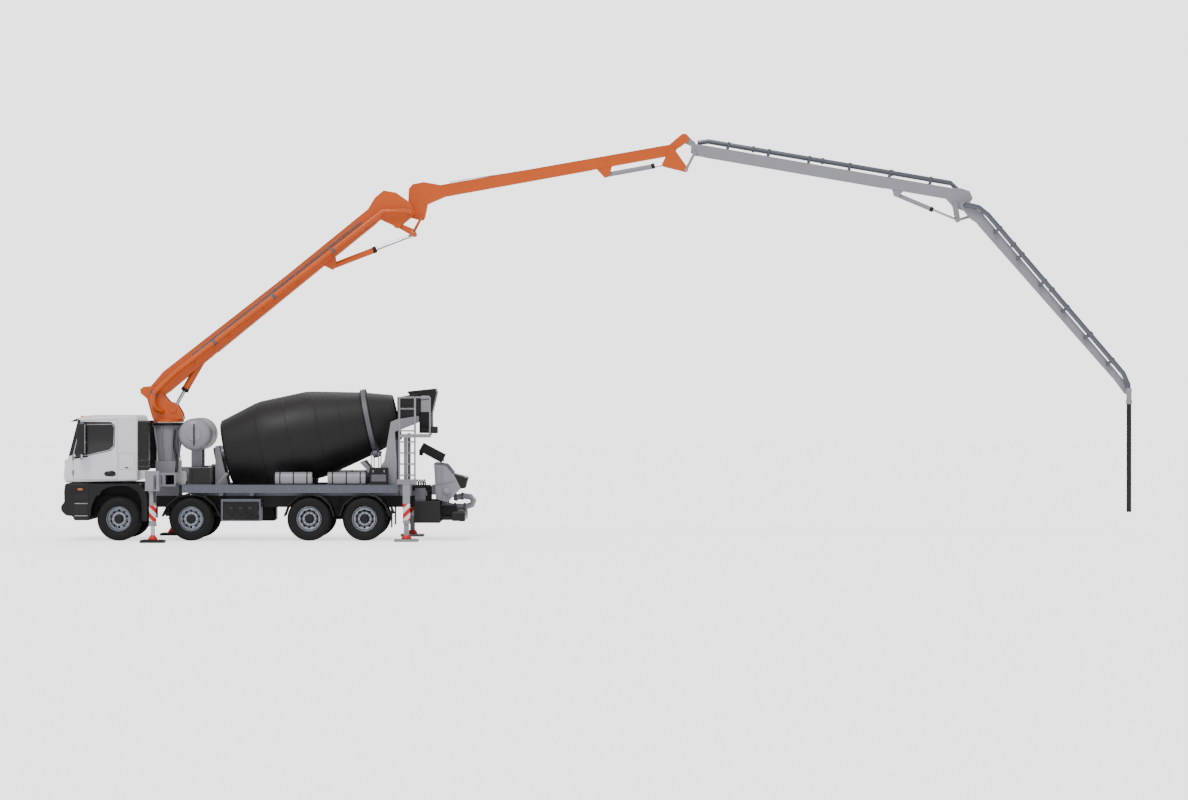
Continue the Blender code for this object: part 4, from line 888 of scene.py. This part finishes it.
# ---- Pedestal
# A tapered box column with flanged slew ring, bolts all round, gusset plates and hydraulic lines.
SLEW = PIVOT["slew"]
RING_BOLTS, GUSSETS = 30, 8
ring = [
    turned_shape(
        [(0.0, 0.37), (0.0, 0.40), (0.055, 0.405), (0.06, 0.37)], (SLEW.x, 0, SLEW.z - 0.075), (0, 0, 1),
        64, False
    )
]
piece("slew_ring_lower", "chassis", CHASSIS_BLACK, ring, bevel=0.003)
bolts = []
for k in range(RING_BOLTS):
    turn = tau * k / RING_BOLTS
    place = (SLEW.x + cos(turn) * 0.386, sin(turn) * 0.386, SLEW.z - 0.105)
    bolts.append(turned_shape([(0, 0.014), (0.03, 0.014)], place, (0, 0, 1), 6))
piece("slew_ring_bolts", "chassis", ZINC, bolts)
gussets = []
for k in range(GUSSETS):
    turn = tau * (k + 0.5) / GUSSETS
    out = Vector((cos(turn), sin(turn), 0))
    across = Vector((-sin(turn), cos(turn), 0)) * 0.009
    foot_point, top_point = Vector((SLEW.x, 0, 1.94)), Vector((SLEW.x, 0, SLEW.z - 0.10))
    corners = (
        foot_point + out * 0.24, foot_point + out * 0.27,
        top_point + out * 0.385, top_point + out * 0.33,
    )
    rings = [[corner + across * way for corner in corners] for way in (-1, 1)]
    gussets.append(rings_shape(rings))
piece("pedestal_gussets", "chassis", LIGHT_GREY, gussets, bevel=0.002)
box_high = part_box("pedestal")[1]
frames = []
for side in (-1, 1):
    for x in (-10.80, -10.50):
        outline = [(x - 0.115, 1.37), (x + 0.115, 1.37), (x + 0.115, 1.61), (x - 0.115, 1.61)]
        frames.append(frame_shape(outline, 0.02, (side * box_high.y, side * (box_high.y + 0.012))))
piece("beam_mouth_frames", "chassis", LIGHT_GREY, frames, bevel=0.002)
hoses = []
for n in range(2):
    x = SLEW.x + 0.20 + n * 0.035
    hoses.append(
        pipe_shape(
            [(x, -0.36, 1.66), (x + 0.02, -0.40, 1.95), (x - 0.05, -0.345, 2.3), (x - 0.02, -0.37, 2.70)],
            0.011, 8, True
        )
    )
    hoses.append(
        pipe_shape(
            [(x, 0.36, 1.66), (x + 0.02, 0.40, 1.95), (x - 0.05, 0.345, 2.3), (x - 0.02, 0.37, 2.70)],
            0.011, 8, True
        )
    )
piece("pedestal_hoses", "chassis", HOSE_RUBBER, hoses)

# ---- Mixer drum
# Rolled and welded steel cones with a machined roller ring near the mouth, painted matt charcoal.
# The ring runs on two steel rollers, and a flange ties the front disc to the gearbox.
DRUM_TILT = radians(12)
DRUM_AXIS = Vector((cos(DRUM_TILT), 0, sin(DRUM_TILT)))
DRUM_START = PIVOT["drum_spin"]
ROUND_STEPS = 96
MOUTH = 4.30
RING_AT = 3.61
RING_RADIUS = 0.84
outside = [
    (0.0, 0.0), (0.0, 0.74), (0.05, 0.81), (0.92, 1.05), (1.10, 1.08), (2.20, 1.08), (2.40, 1.05),
    (3.52, 0.79)
]
outside += [(3.54, RING_RADIUS), (3.68, RING_RADIUS), (3.70, 0.74), (4.24, 0.575), (MOUTH, 0.555)]
inside = [(MOUTH, 0.505), (3.55, 0.70), (2.25, 1.01), (1.05, 1.01), (0.10, 0.70), (0.10, 0.0)]
skin = turned_shape(outside + inside, DRUM_START, DRUM_AXIS, ROUND_STEPS, False)
piece("drum_skin", "drum", CHARCOAL, [skin], replaces=["drum"])
welds = []
for along, radius in (
    (0.05, 0.81), (0.92, 1.05), (1.65, 1.08), (2.40, 1.05), (2.96, 0.92), (4.24, 0.575)
):
    bead = [(along - 0.012, radius - 0.004), (along, radius + 0.005), (along + 0.012, radius - 0.004)]
    welds.append(turned_shape(bead, DRUM_START, DRUM_AXIS, ROUND_STEPS, False))
piece("drum_weld_beads", "drum", CHARCOAL, welds)
hoop = [(RING_AT - 0.055, RING_RADIUS - 0.002), (RING_AT - 0.05, RING_RADIUS + 0.003)]
hoop += [(RING_AT + 0.05, RING_RADIUS + 0.003), (RING_AT + 0.055, RING_RADIUS - 0.002)]
piece("roller_path", "drum", CAST, [turned_shape(hoop, DRUM_START, DRUM_AXIS, ROUND_STEPS, False)])
ROLLER_RADIUS = 0.095
ROLLER_ANGLE = radians(35)  # each roller is this far round from the lowest point
rollers, brackets = [], []
for side in (-1, 1):
    out = Vector(
        (sin(DRUM_TILT), 0, -cos(DRUM_TILT))
    ) * cos(ROLLER_ANGLE) + Vector((0, side * sin(ROLLER_ANGLE), 0))
    middle = DRUM_START + DRUM_AXIS * RING_AT + out * (RING_RADIUS + ROLLER_RADIUS + 0.009)
    rim = [(-0.06, 0.03), (-0.06, ROLLER_RADIUS - 0.01), (-0.05, ROLLER_RADIUS), (0.05, ROLLER_RADIUS)]
    rollers.append(
        turned_shape(rim + [(0.06, ROLLER_RADIUS - 0.01), (0.06, 0.03)], middle, DRUM_AXIS, 40)
    )
    rollers.append(turned_shape([(-0.11, 0.025), (0.11, 0.025)], middle, DRUM_AXIS, 16))
    for reach in (-0.095, 0.075):
        x = middle.x + reach
        brackets.append(
            box_shape((x, x + 0.02), (middle.y - 0.06, middle.y + 0.06), (1.58, middle.z + 0.03))
        )
piece("drum_rollers", "chassis", CAST, rollers)
piece("roller_brackets", "chassis", LIGHT_GREY, brackets, bevel=0.004)
flange = [
    turned_shape(
        [(-0.05, 0.20), (-0.05, 0.235), (-0.015, 0.235), (-0.015, 0.20)], DRUM_START, DRUM_AXIS, 48, False
    )
]
piece("gearbox_flange", "chassis", CAST, flange)

# ---- Water tank and oil tank
# Rolled sheet tank with pressed domed ends, strapped across the frame, with a round hatch and a
# level pipe at each end. The hydraulic oil tank below it is a folded black box.
TANK_X, TANK_Z, TANK_RADIUS = -9.92, 2.59, 0.392
dome = [(1.064, 0.0), (1.043, 0.20), (0.993, 0.322), (0.932, 0.381), (0.882, TANK_RADIUS)]
profile = dome + [(-reach, radius) for reach, radius in reversed(dome)]
tank = turned_shape(profile, (TANK_X, 0, TANK_Z), (0, 1, 0), ROUND_STEPS, False)
piece("water_tank_skin", "chassis", LIGHT_GREY, [tank])
bands = []
for y in (-0.885, -0.41, 0.41, 0.885):
    band = [
        (-0.022, TANK_RADIUS - 0.002), (-0.02, TANK_RADIUS + 0.005), (0.02, TANK_RADIUS + 0.005),
        (0.022, TANK_RADIUS - 0.002)
    ]
    bands.append(turned_shape(band, (TANK_X, y, TANK_Z), (0, 1, 0), ROUND_STEPS, False))
piece("water_tank_bands", "chassis", ALLOY, bands)
for side_name, side in SIDES:
    end = Vector((TANK_X, side * 1.045, TANK_Z))
    hatch = [
        turned_shape(
            [(0.0, 0.17), (0.022, 0.17), (0.026, 0.155), (0.034, 0.15), (0.036, 0.0)], end, (0, side, 0),
            48
        )
    ]
    piece(f"water_tank_hatch_{side_name}", "chassis", LIGHT_GREY, hatch, bevel=0.002)
    gauge = [
        rod_shape(end + Vector((0, side * 0.05, -0.27)), end + Vector((0, side * 0.05, 0.27)), 0.016)
    ]
    piece(f"water_level_pipe_{side_name}", "chassis", SATIN_BLACK, gauge)
    oil = [box_shape((-10.046, -9.514), (side * 0.398, side * 1.104), (1.368, 1.794))]
    piece(f"oil_tank_{side_name}", "chassis", SATIN_BLACK, oil, bevel=0.02, segments=3)
    cap = [
        turned_shape(
            [(0.0, 0.05), (0.03, 0.05), (0.036, 0.04)], (-9.64, side * 0.95, 1.79), (0, 0, 1), 24
        )
    ]
    cap.append(box_shape((-9.98, -9.95), (side * 1.104, side * 1.112), (1.44, 1.72)))
    piece(f"oil_tank_cap_{side_name}", "chassis", PLASTIC, cap, bevel=0.003)
strut = [
    slab_shape([(-9.50, 1.30), (-9.42, 1.30), (-9.12, 1.62), (-9.20, 1.66)], (y, y + 0.04))
    for y in (-0.60, 0.56)
]
piece("drum_stand_struts", "chassis", LIGHT_GREY, strut, bevel=0.004)

# ---- Deck
# Pressed alloy side rails with a bright top edge and a bolted joint every metre, round bins for the
# spare delivery pipe, and a locked box for the remote control.
for side_name, side in SIDES:
    edge = [box_shape((-10.202, -4.928), (side * 1.166, side * 1.254), (1.352, 1.369))]
    edge.append(box_shape((-10.202, -4.928), (side * 1.249, side * 1.254), (1.172, 1.186)))
    edge += [
        box_shape((x, x + 0.012), (side * 1.249, side * 1.256), (1.18, 1.36))
        for x in (-9.2, -8.2, -7.2, -6.2, -5.2)
    ]
    piece(f"deck_edge_{side_name}", "chassis", ALLOY, edge, bevel=0.002)
    rivets = [
        rod_shape(
            (-10.1 + 0.25 * n, side * 1.249, 1.27), (-10.1 + 0.25 * n, side * 1.257, 1.27), 0.010, 8
        )
        for n in range(21)
    ]
    piece(f"deck_rivets_{side_name}", "chassis", ZINC, rivets)
    for number, (low, high) in enumerate(((-7.93, -7.03), (-6.65, -5.73)), 1):
        long = high - low
        bin_skin = [
            (0.0, 0.0), (0.0, 0.14), (0.012, 0.152), (long - 0.012, 0.152), (long, 0.14), (long, 0.0)
        ]
        bins = [turned_shape(bin_skin, (low, side * 1.13, 1.525), (1, 0, 0), 64, False)]
        piece(f"pipe_bin_{number}_{side_name}", "chassis", LIGHT_GREY, bins)
        hoops = []
        for at in (0.12, long / 2, long - 0.12):
            hoop = [(at - 0.016, 0.150), (at - 0.014, 0.157), (at + 0.014, 0.157), (at + 0.016, 0.150)]
            hoops.append(turned_shape(hoop, (low, side * 1.13, 1.525), (1, 0, 0), 64, False))
        piece(f"pipe_bin_hoops_{number}_{side_name}", "chassis", CHASSIS_BLACK, hoops)
    flap = [box_shape((-5.105, -5.09), (side * 0.62, side * 1.22), (0.32, 0.78))]
    piece(f"mud_flap_{side_name}", "chassis", HOSE_RUBBER, flap, bevel=0.004)
box = [box_shape((-5.626, -5.174), (-1.246, -1.014), (1.366, 1.786))]
piece("control_box", "chassis", CHASSIS_BLACK, box, bevel=0.012, segments=3)
face = [box_shape((-5.58, -5.22), (-1.252, -1.244), (1.45, 1.62))]
piece("control_box_blank_plate", "chassis", CAST, face, bevel=0.003)
latches = [box_shape((x, x + 0.03), (-1.262, -1.244), (1.67, 1.73)) for x in (-5.55, -5.28)]
piece("control_box_latches", "chassis", ZINC, latches, bevel=0.003)
rack_low, rack_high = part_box("air_tank_rack")
rack_z = (rack_low.z + rack_high.z) / 2
ends, rails = [], []
for number in range(3):
    x = rack_low.x + (rack_high.x - rack_low.x) * (0.26 + 0.24 * number)
    profile = [(-0.06, 0.105), (0.0, 0.105), (0.018, 0.085), (0.026, 0.05), (0.028, 0.0)]
    ends.append(turned_shape(profile, (x, rack_low.y, rack_z - 0.02), (0, -1, 0), 36))
ends.append(
    box_shape(
        (rack_low.x + 0.06, rack_high.x - 0.06), (rack_low.y - 0.004, rack_low.y + 0.01),
        (rack_low.z + 0.03, rack_high.z - 0.06)
    )
)
piece("air_tank_ends", "chassis", CHASSIS_BLACK, ends)
for z, deep in ((rack_high.z - 0.05, 0.06), (rack_low.z, 0.03)):
    rails.append(
        box_shape((rack_low.x, rack_high.x), (rack_low.y - 0.032, rack_low.y + 0.01), (z, z + deep))
    )
rails.append(
    box_shape(
        (rack_low.x, rack_low.x + 0.05), (rack_low.y - 0.03, rack_low.y + 0.01), (rack_low.z, rack_high.z)
    )
)
piece("air_tank_frame", "chassis", ALLOY, rails, bevel=0.004)

# ---- Rear outriggers
# Square welded legs banded with red and white reflective sheet, each over a foot with a red cone.
LEG_X, LEG_HALF = -4.705, 0.0865
for side_name, side in SIDES:
    y = side * 1.65
    corners = [(-1, -1), (1, -1), (1, 1), (-1, 1)]
    sleeve = [[(LEG_X + a * LEG_HALF, y + b * LEG_HALF, z) for a, b in corners] for z in (0.52, 0.92)]
    piece(f"rear_leg_stripes_{side_name}", "chassis", STRIPES_REAR, [rings_shape(sleeve, False)])
    cap = [box_shape((LEG_X - 0.10, LEG_X + 0.10), (y - 0.10, y + 0.10), (1.408, 1.43))]
    piece(f"rear_leg_cap_{side_name}", "chassis", LIGHT_GREY, cap, bevel=0.004)
    foot = f"rear_foot_{side_name}"
    cone = turned_shape(
        [(0.0, 0.11), (0.02, 0.125), (0.04, 0.122), (0.09, 0.094), (0.10, 0.088)], (LEG_X, y, 0.055),
        (0, 0, 1), 36
    )
    piece(f"{foot}_cone", foot, SIGNAL_RED, [cone])

# ---- Ladder, platform and loading hopper
# Tube ladder up to a grated platform beside the drum's mouth. The hopper is folded black plate
# with a rolled rim, and a work lamp looks down on the pump behind it.
slats = [
    box_shape((-4.90 + 0.062 * n, -4.886 + 0.062 * n), (-1.19, -0.91), (2.60, 2.612)) for n in range(13)
]
piece("platform_grating", "chassis", ZINC, slats, bevel=0.002)
treads = [
    box_shape((-4.88, -4.54), (-1.198, -1.162), (1.612 + rung * 0.27, 1.622 + rung * 0.27))
    for rung in range(8)
]
piece("ladder_treads", "chassis", ZINC, treads, bevel=0.002)
rim = [
    (-4.715, 0.56, 3.625), (-4.055, 0.56, 3.695), (-4.055, -0.56, 3.695), (-4.715, -0.56, 3.625),
    (-4.715, 0.56, 3.625)
]
piece("hopper_rim", "chassis", SATIN_BLACK, [pipe_shape(rim, 0.022, 12)])
hood = [(-4.98, 3.50), (-4.45, 3.60), (-4.42, 3.15), (-4.60, 2.82), (-4.98, 2.72)]
piece(
    "hopper_hood", "chassis", SATIN_BLACK,
    [slab_shape(hood, (side * 0.602, side * 0.612)) for side in (-1, 1)], bevel=0.003
)
piece(
    "hopper_blank_panel", "chassis", LIGHT_GREY,
    [box_shape((-4.40, -4.19), (-0.578, -0.570), (3.14, 3.54))], bevel=0.003
)
ribs = [
    slab_shape([(-4.60, 3.40), (-4.10, 3.46), (-4.10, 3.48), (-4.60, 3.42)], (side * 0.57, side * 0.584))
    for side in (-1, 1)
]
piece("hopper_ribs", "chassis", SATIN_BLACK, ribs, bevel=0.002)
lamp = [
    box_shape((-4.14, -3.97), (-0.99, -0.85), (2.62, 2.79)),
    box_shape((-4.16, -4.12), (-0.95, -0.89), (2.56, 2.64))
]
piece("work_lamp_housing", "chassis", SATIN_BLACK, lamp, bevel=0.015, segments=3)
piece(
    "work_lamp_lens", "chassis", LENS_WHITE,
    [box_shape((-3.972, -3.964), (-0.975, -0.865), (2.64, 2.77))], bevel=0.003
)
piece(
    "chute_lip", "chute", HOSE_RUBBER, [box_shape((-3.872, -3.858), (-0.20, 0.20), (1.91, 2.02))],
    bevel=0.003
)

# ---- Concrete pump
# Valve block with lever handles over the pump's side box, hoses to the delivery cylinders, a barred
# receiving hopper with a rubber apron, clamped outlet elbows and the rear lamp bar.
valves = [box_shape((-4.53, -4.27), (-0.98, -0.76), (0.955, 1.28))]
valves += [box_shape((-4.535, -4.265), (-0.986, -0.974), (z, z + 0.05)) for z in (1.0, 1.09, 1.18)]
piece("valve_block", "chassis", CAST, valves, bevel=0.008)
handles = []
for n in range(5):
    x = -4.51 + n * 0.055
    handles.append(rod_shape((x, -0.94, 1.26), (x + 0.01, -1.01, 1.40), 0.007, 8))
    handles.append(
        turned_shape(
            [(0.0, 0.008), (0.006, 0.016), (0.03, 0.018), (0.042, 0.008)], (x + 0.01, -1.01, 1.395),
            (0, -0.4, 1), 16
        )
    )
piece("valve_handles", "chassis", SATIN_BLACK, handles)
hoses = []
for n in range(4):
    x = -4.50 + n * 0.06
    hoses.append(
        pipe_shape(
            [
                (x, -0.82, 1.27), (x, -0.76, 1.42), (x + 0.01, -0.55, 1.48), (x + 0.02, -0.34, 1.42),
                (x + 0.02, -0.20, 1.32)
            ],
            0.013, 8, True
        )
    )
piece("pump_hoses", "chassis", HOSE_RUBBER, hoses)
grate = [
    rod_shape((-4.02, -0.54 + 0.12 * n, 1.79), (-3.72, -0.54 + 0.12 * n, 1.77), 0.009, 8)
    for n in range(10)
]
grate += [rod_shape((x, -0.56, 1.775), (x, 0.56, 1.775), 0.009, 8) for x in (-3.98, -3.87, -3.76)]
piece("receiving_hopper_grate", "chassis", CHASSIS_BLACK, grate)
edges, ribs = [], []
for side in (-1, 1):
    edges.append(
        pipe_shape(
            [(-4.07, side * 0.615, 1.875), (-3.78, side * 0.615, 1.838), (-3.61, side * 0.615, 1.63)],
            0.018, 10
        )
    )
    ribs += [
        slab_shape(
            [(x, 1.02), (x + 0.016, 1.02), (x + 0.016, 1.80), (x, 1.80)], (side * 0.62, side * 0.645)
        )
        for x in (-4.02, -3.88)
    ]
    ribs.append(
        slab_shape(
            [(-4.03, 1.36), (-3.58, 1.44), (-3.58, 1.46), (-4.03, 1.38)], (side * 0.62, side * 0.64)
        )
    )
    motor = [(0.0, 0.10), (0.02, 0.10), (0.025, 0.075), (0.13, 0.072), (0.14, 0.055), (0.15, 0.0)]
    ribs.append(turned_shape(motor, (-3.76, side * 0.62, 1.20), (0, side, 0), 32))
piece("receiving_hopper_edge", "chassis", ALLOY, edges)
piece("receiving_hopper_ribs", "chassis", LIGHT_GREY, ribs, bevel=0.002)
apron = [(-3.665, 1.625), (-3.265, 1.525), (-3.335, 1.265), (-3.50, 1.245)]
sheets = [slab_shape(apron, (side * 0.601, side * 0.613)) for side in (-1, 1)]
sheets.append(
    slab_shape([(-3.264, 1.525), (-3.334, 1.265), (-3.322, 1.262), (-3.252, 1.528)], (-0.613, 0.613))
)
piece("rubber_apron", "chassis", HOSE_RUBBER, sheets, bevel=0.003)
clamps = []
for x, z, lean in ((-3.56, 1.03, 0.15), (-3.40, 1.055, 0.0), (-3.34, 0.80, 0.0), (-3.58, 0.80, 0.0)):
    clamps.append(
        turned_shape(
            [(-0.03, 0.074), (-0.028, 0.094), (0.028, 0.094), (0.03, 0.074)], (x, 0, z), (1, 0, lean), 40,
            False
        )
    )
piece("elbow_clamps", "chassis", CAST, clamps)
bar = [box_shape((-3.44, -3.31), (-1.10, 1.10), (0.47, 0.60))]
bar += [box_shape((-3.93, -3.43), (y - 0.04, y + 0.04), (0.49, 0.58)) for y in (-0.70, 0.70)]
piece("rear_lamp_bar", "chassis", CHASSIS_BLACK, bar, bevel=0.008)
for side_name, side in SIDES:
    tail = [box_shape((-3.312, -3.296), (side * 0.90, side * 1.07), (0.485, 0.585))]
    piece(f"tail_lamp_{side_name}", "chassis", LENS_RED, tail, bevel=0.006)
    turn_lamp = [box_shape((-3.312, -3.296), (side * 0.80, side * 0.89), (0.485, 0.585))]
    piece(f"turn_lamp_{side_name}", "chassis", LENS_AMBER, turn_lamp, bevel=0.006)
piece(
    "rear_plate_blank", "chassis", CAB_WHITE, [box_shape((-3.312, -3.300), (-0.26, 0.26), (0.49, 0.585))],
    bevel=0.004
)

# ---- Boom
# Four welded box girders whose top and bottom plates stand proud of the webs. The concrete line of
# clamped steel pipe follows the arms and passes from arm to arm through the hollow pivots.
ARM_PIVOTS = [
    PIVOT[name] for name in ("boom_1_lift", "boom_2_fold", "boom_3_fold", "boom_4_fold", "tip_hose_swing")
]


def on_arm(number, x, y, z):
    """World place of a point in an arm's own frame: x along it, z off its top."""
    start, end = ARM_PIVOTS[number - 1], ARM_PIVOTS[number]
    angle = atan2(end.z - start.z, end.x - start.x)
    return Vector(
        (start.x + cos(angle) * x - sin(angle) * z, y, start.z + sin(angle) * x + cos(angle) * z)
    )


def arm_slab(number, outline, y):
    """A plate drawn in an arm's frame."""
    points, faces = slab_shape(outline, y)
    return [on_arm(number, *point) for point in points], faces


def flange_shape(number, line, y, thick):
    """A cover plate along a line on an arm, thick off the line."""
    return [
        arm_slab(
            number,
            [
                line[n], line[n + 1], (line[n + 1][0], line[n + 1][1] + thick),
                (line[n][0], line[n][1] + thick)
            ],
            y
        )
        for n in range(len(line) - 1)
    ]


ARM_LENGTH = [0.0] + [(ARM_PIVOTS[n + 1] - ARM_PIVOTS[n]).xz.length for n in range(4)]
TIP = ARM_LENGTH[4]
FLANGES = {
    1: (
        [(0.45, 0.31), (1.24, 0.35), (4.30, 0.49), (6.90, 0.66)],
        [(1.85, -0.065), (4.30, 0.10), (6.90, 0.27)], (-0.178, 0.178), ORANGE
    ),
    2: ([(0.90, 0.47), (6.60, -0.06)], [(0.95, 0.17), (4.6, -0.152)], (0.313, 0.547), ORANGE),
    3: ([(0.50, -0.06), (6.70, 0.36)], [(0.60, -0.331), (5.1, -0.027)], (0.323, 0.537), LIGHT_GREY),
    4: (
        [(0.40, 0.19), (TIP - 0.5, 0.10)], [(0.60, -0.06), (TIP - 0.5, -0.06)], (0.023, 0.217), LIGHT_GREY
    ),
}
for number, (top, bottom, y, finish) in FLANGES.items():
    plates = flange_shape(number, top, y, 0.006) + flange_shape(number, bottom, y, -0.006)
    piece(f"arm_{number}_flanges", f"arm_{number}", finish, plates)

# route of the line on each arm as (along, off the arm, y), its finish, and the y of the web it is held by
LINES = {
    1: (
        [
            (0.0, 0.0, -0.36), (0.25, 0.05, -0.35), (0.75, 0.12, -0.31), (7.2, 0.40, -0.31),
            (7.6, 0.12, -0.31), (7.73, 0.0, -0.26), (7.73, 0.0, -0.175)
        ],
        ORANGE, -0.17
    ),
    2: (
        [
            (0.0, 0.0, 0.545), (0.0, 0.02, 0.61), (0.12, 0.15, 0.64), (0.60, 0.38, 0.64),
            (6.5, -0.18, 0.64), (6.9, -0.10, 0.64)
        ],
        ORANGE, 0.54
    ),
    3: (
        [
            (0.35, -0.02, 0.61), (0.60, 0.08, 0.61), (6.7, 0.50, 0.61), (7.02, 0.30, 0.61),
            (7.13, 0.10, 0.60), (7.13, 0.0, 0.545)
        ],
        ALLOY, 0.53
    ),
    4: (
        [
            (0.0, 0.0, 0.02), (0.0, 0.05, -0.04), (0.25, 0.22, -0.05), (0.55, 0.27, -0.05),
            (TIP - 0.4, 0.19, -0.05), (TIP - 0.12, 0.10, -0.05), (TIP, 0.0, -0.075)
        ],
        ALLOY, 0.03
    ),
}
PIPE_RADIUS = 0.0625
for number, (route, finish, web) in LINES.items():
    body = f"arm_{number}"
    line = [on_arm(number, x, y, z) for x, z, y in route]
    piece(
        f"{body}_concrete_pipe", body, finish, [pipe_shape(line, PIPE_RADIUS, 20)],
    )
    longest = max(range(len(line) - 1), key=lambda n: (line[n + 1] - line[n]).length)
    start, end = line[longest], line[longest + 1]
    start_x, start_z, y = route[longest]
    end_x, end_z = route[longest + 1][:2]
    clamps, holders = [], []
    for n in range(1, 4):
        clamp = [(-0.035, PIPE_RADIUS), (-0.03, 0.082), (0.03, 0.082), (0.035, PIPE_RADIUS)]
        clamps.append(turned_shape(clamp, start.lerp(end, n / 3.5 - 0.1), end - start, 28, False))
    for n in range(6):
        share = (n + 0.5) / 6
        x, z = start_x + (end_x - start_x) * share, start_z + (end_z - start_z) * share
        foot = z if number < 3 else z - 0.15
        reach = sorted((web, y + (0.03 if y > web else -0.03)))
        holders.append(
            arm_slab(
                number,
                [
                    (x - 0.04, foot - 0.02), (x + 0.04, foot - 0.02), (x + 0.03, z + 0.075),
                    (x - 0.03, z + 0.075)
                ],
                (reach[0], reach[1])
            )
        )
    piece(f"{body}_pipe_clamps", body, CAST, clamps)
    piece(f"{body}_pipe_holders", body, finish, holders, bevel=0.004)
    lines = []
    for n in range(2):
        off = -0.14 - 0.035 * n
        side = -1 if web < 0 else 1
        lines.append(
            pipe_shape(
                [
                    on_arm(number, start_x + 0.5, web + side * 0.016, start_z - off - 0.05),
                    on_arm(number, end_x - 0.6, web + side * 0.016, end_z - off - 0.05)
                ],
                0.011, 8
            )
        )
    if number < 3:
        piece(f"{body}_oil_lines", body, ZINC, lines)

# riser that feeds the line from the turret, and the caps of the boom's foot pin
riser = [
    (ARM_PIVOTS[0].x, -0.50, ARM_PIVOTS[0].z), (-10.98, -0.50, 3.34), (-10.92, -0.44, 3.22),
    (-10.82, -0.34, 3.16), (-10.78, -0.262, 3.15)
]
piece("turret_riser", "turret", ORANGE, [pipe_shape(riser, PIPE_RADIUS, 20, True)])
CAPS = (
    (1, 0.0, "turret", (-0.296, -0.284), 0.10), (1, 0.0, "turret", (0.284, 0.30), 0.10),
)
for count, (number, along, body, y, radius) in enumerate(CAPS, 1):
    start = on_arm(number, along, y[0], 0.0)
    cap = [
        turned_shape(
            [(0.0, radius), (y[1] - y[0] - 0.003, radius), (y[1] - y[0], radius - 0.006)], start,
            (0, 1, 0), 36
        )
    ]
    piece(f"pivot_cap_{count}", body, CAST, cap)

# gland collars at the mouths of the boom cylinders
BARRELS = {
    1: (0.09, 0.72, ORANGE), 2: (0.075, 1.15, ORANGE), 3: (0.06, 1.22, LIGHT_GREY),
    4: (0.055, 0.98, LIGHT_GREY)
}
for number, (radius, mouth, finish) in BARRELS.items():
    base = PIVOT[f"cylinder_{number}_swing"]
    low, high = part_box(f"cylinder_{number}_rod")
    along = ((low + high) / 2 - base)
    along.y = 0
    along.normalize()
    collar = [
        (mouth - 0.09, radius - 0.001), (mouth - 0.085, radius + 0.008), (mouth - 0.004, radius + 0.008),
        (mouth + 0.002, radius * 0.72)
    ]
    collar += [(mouth + 0.002, radius * 0.66)]
    shapes = [turned_shape(collar, base, along, 40, False)]
    piece(f"cylinder_{number}_collar", f"cylinder_{number}_barrel", CHASSIS_BLACK, shapes)
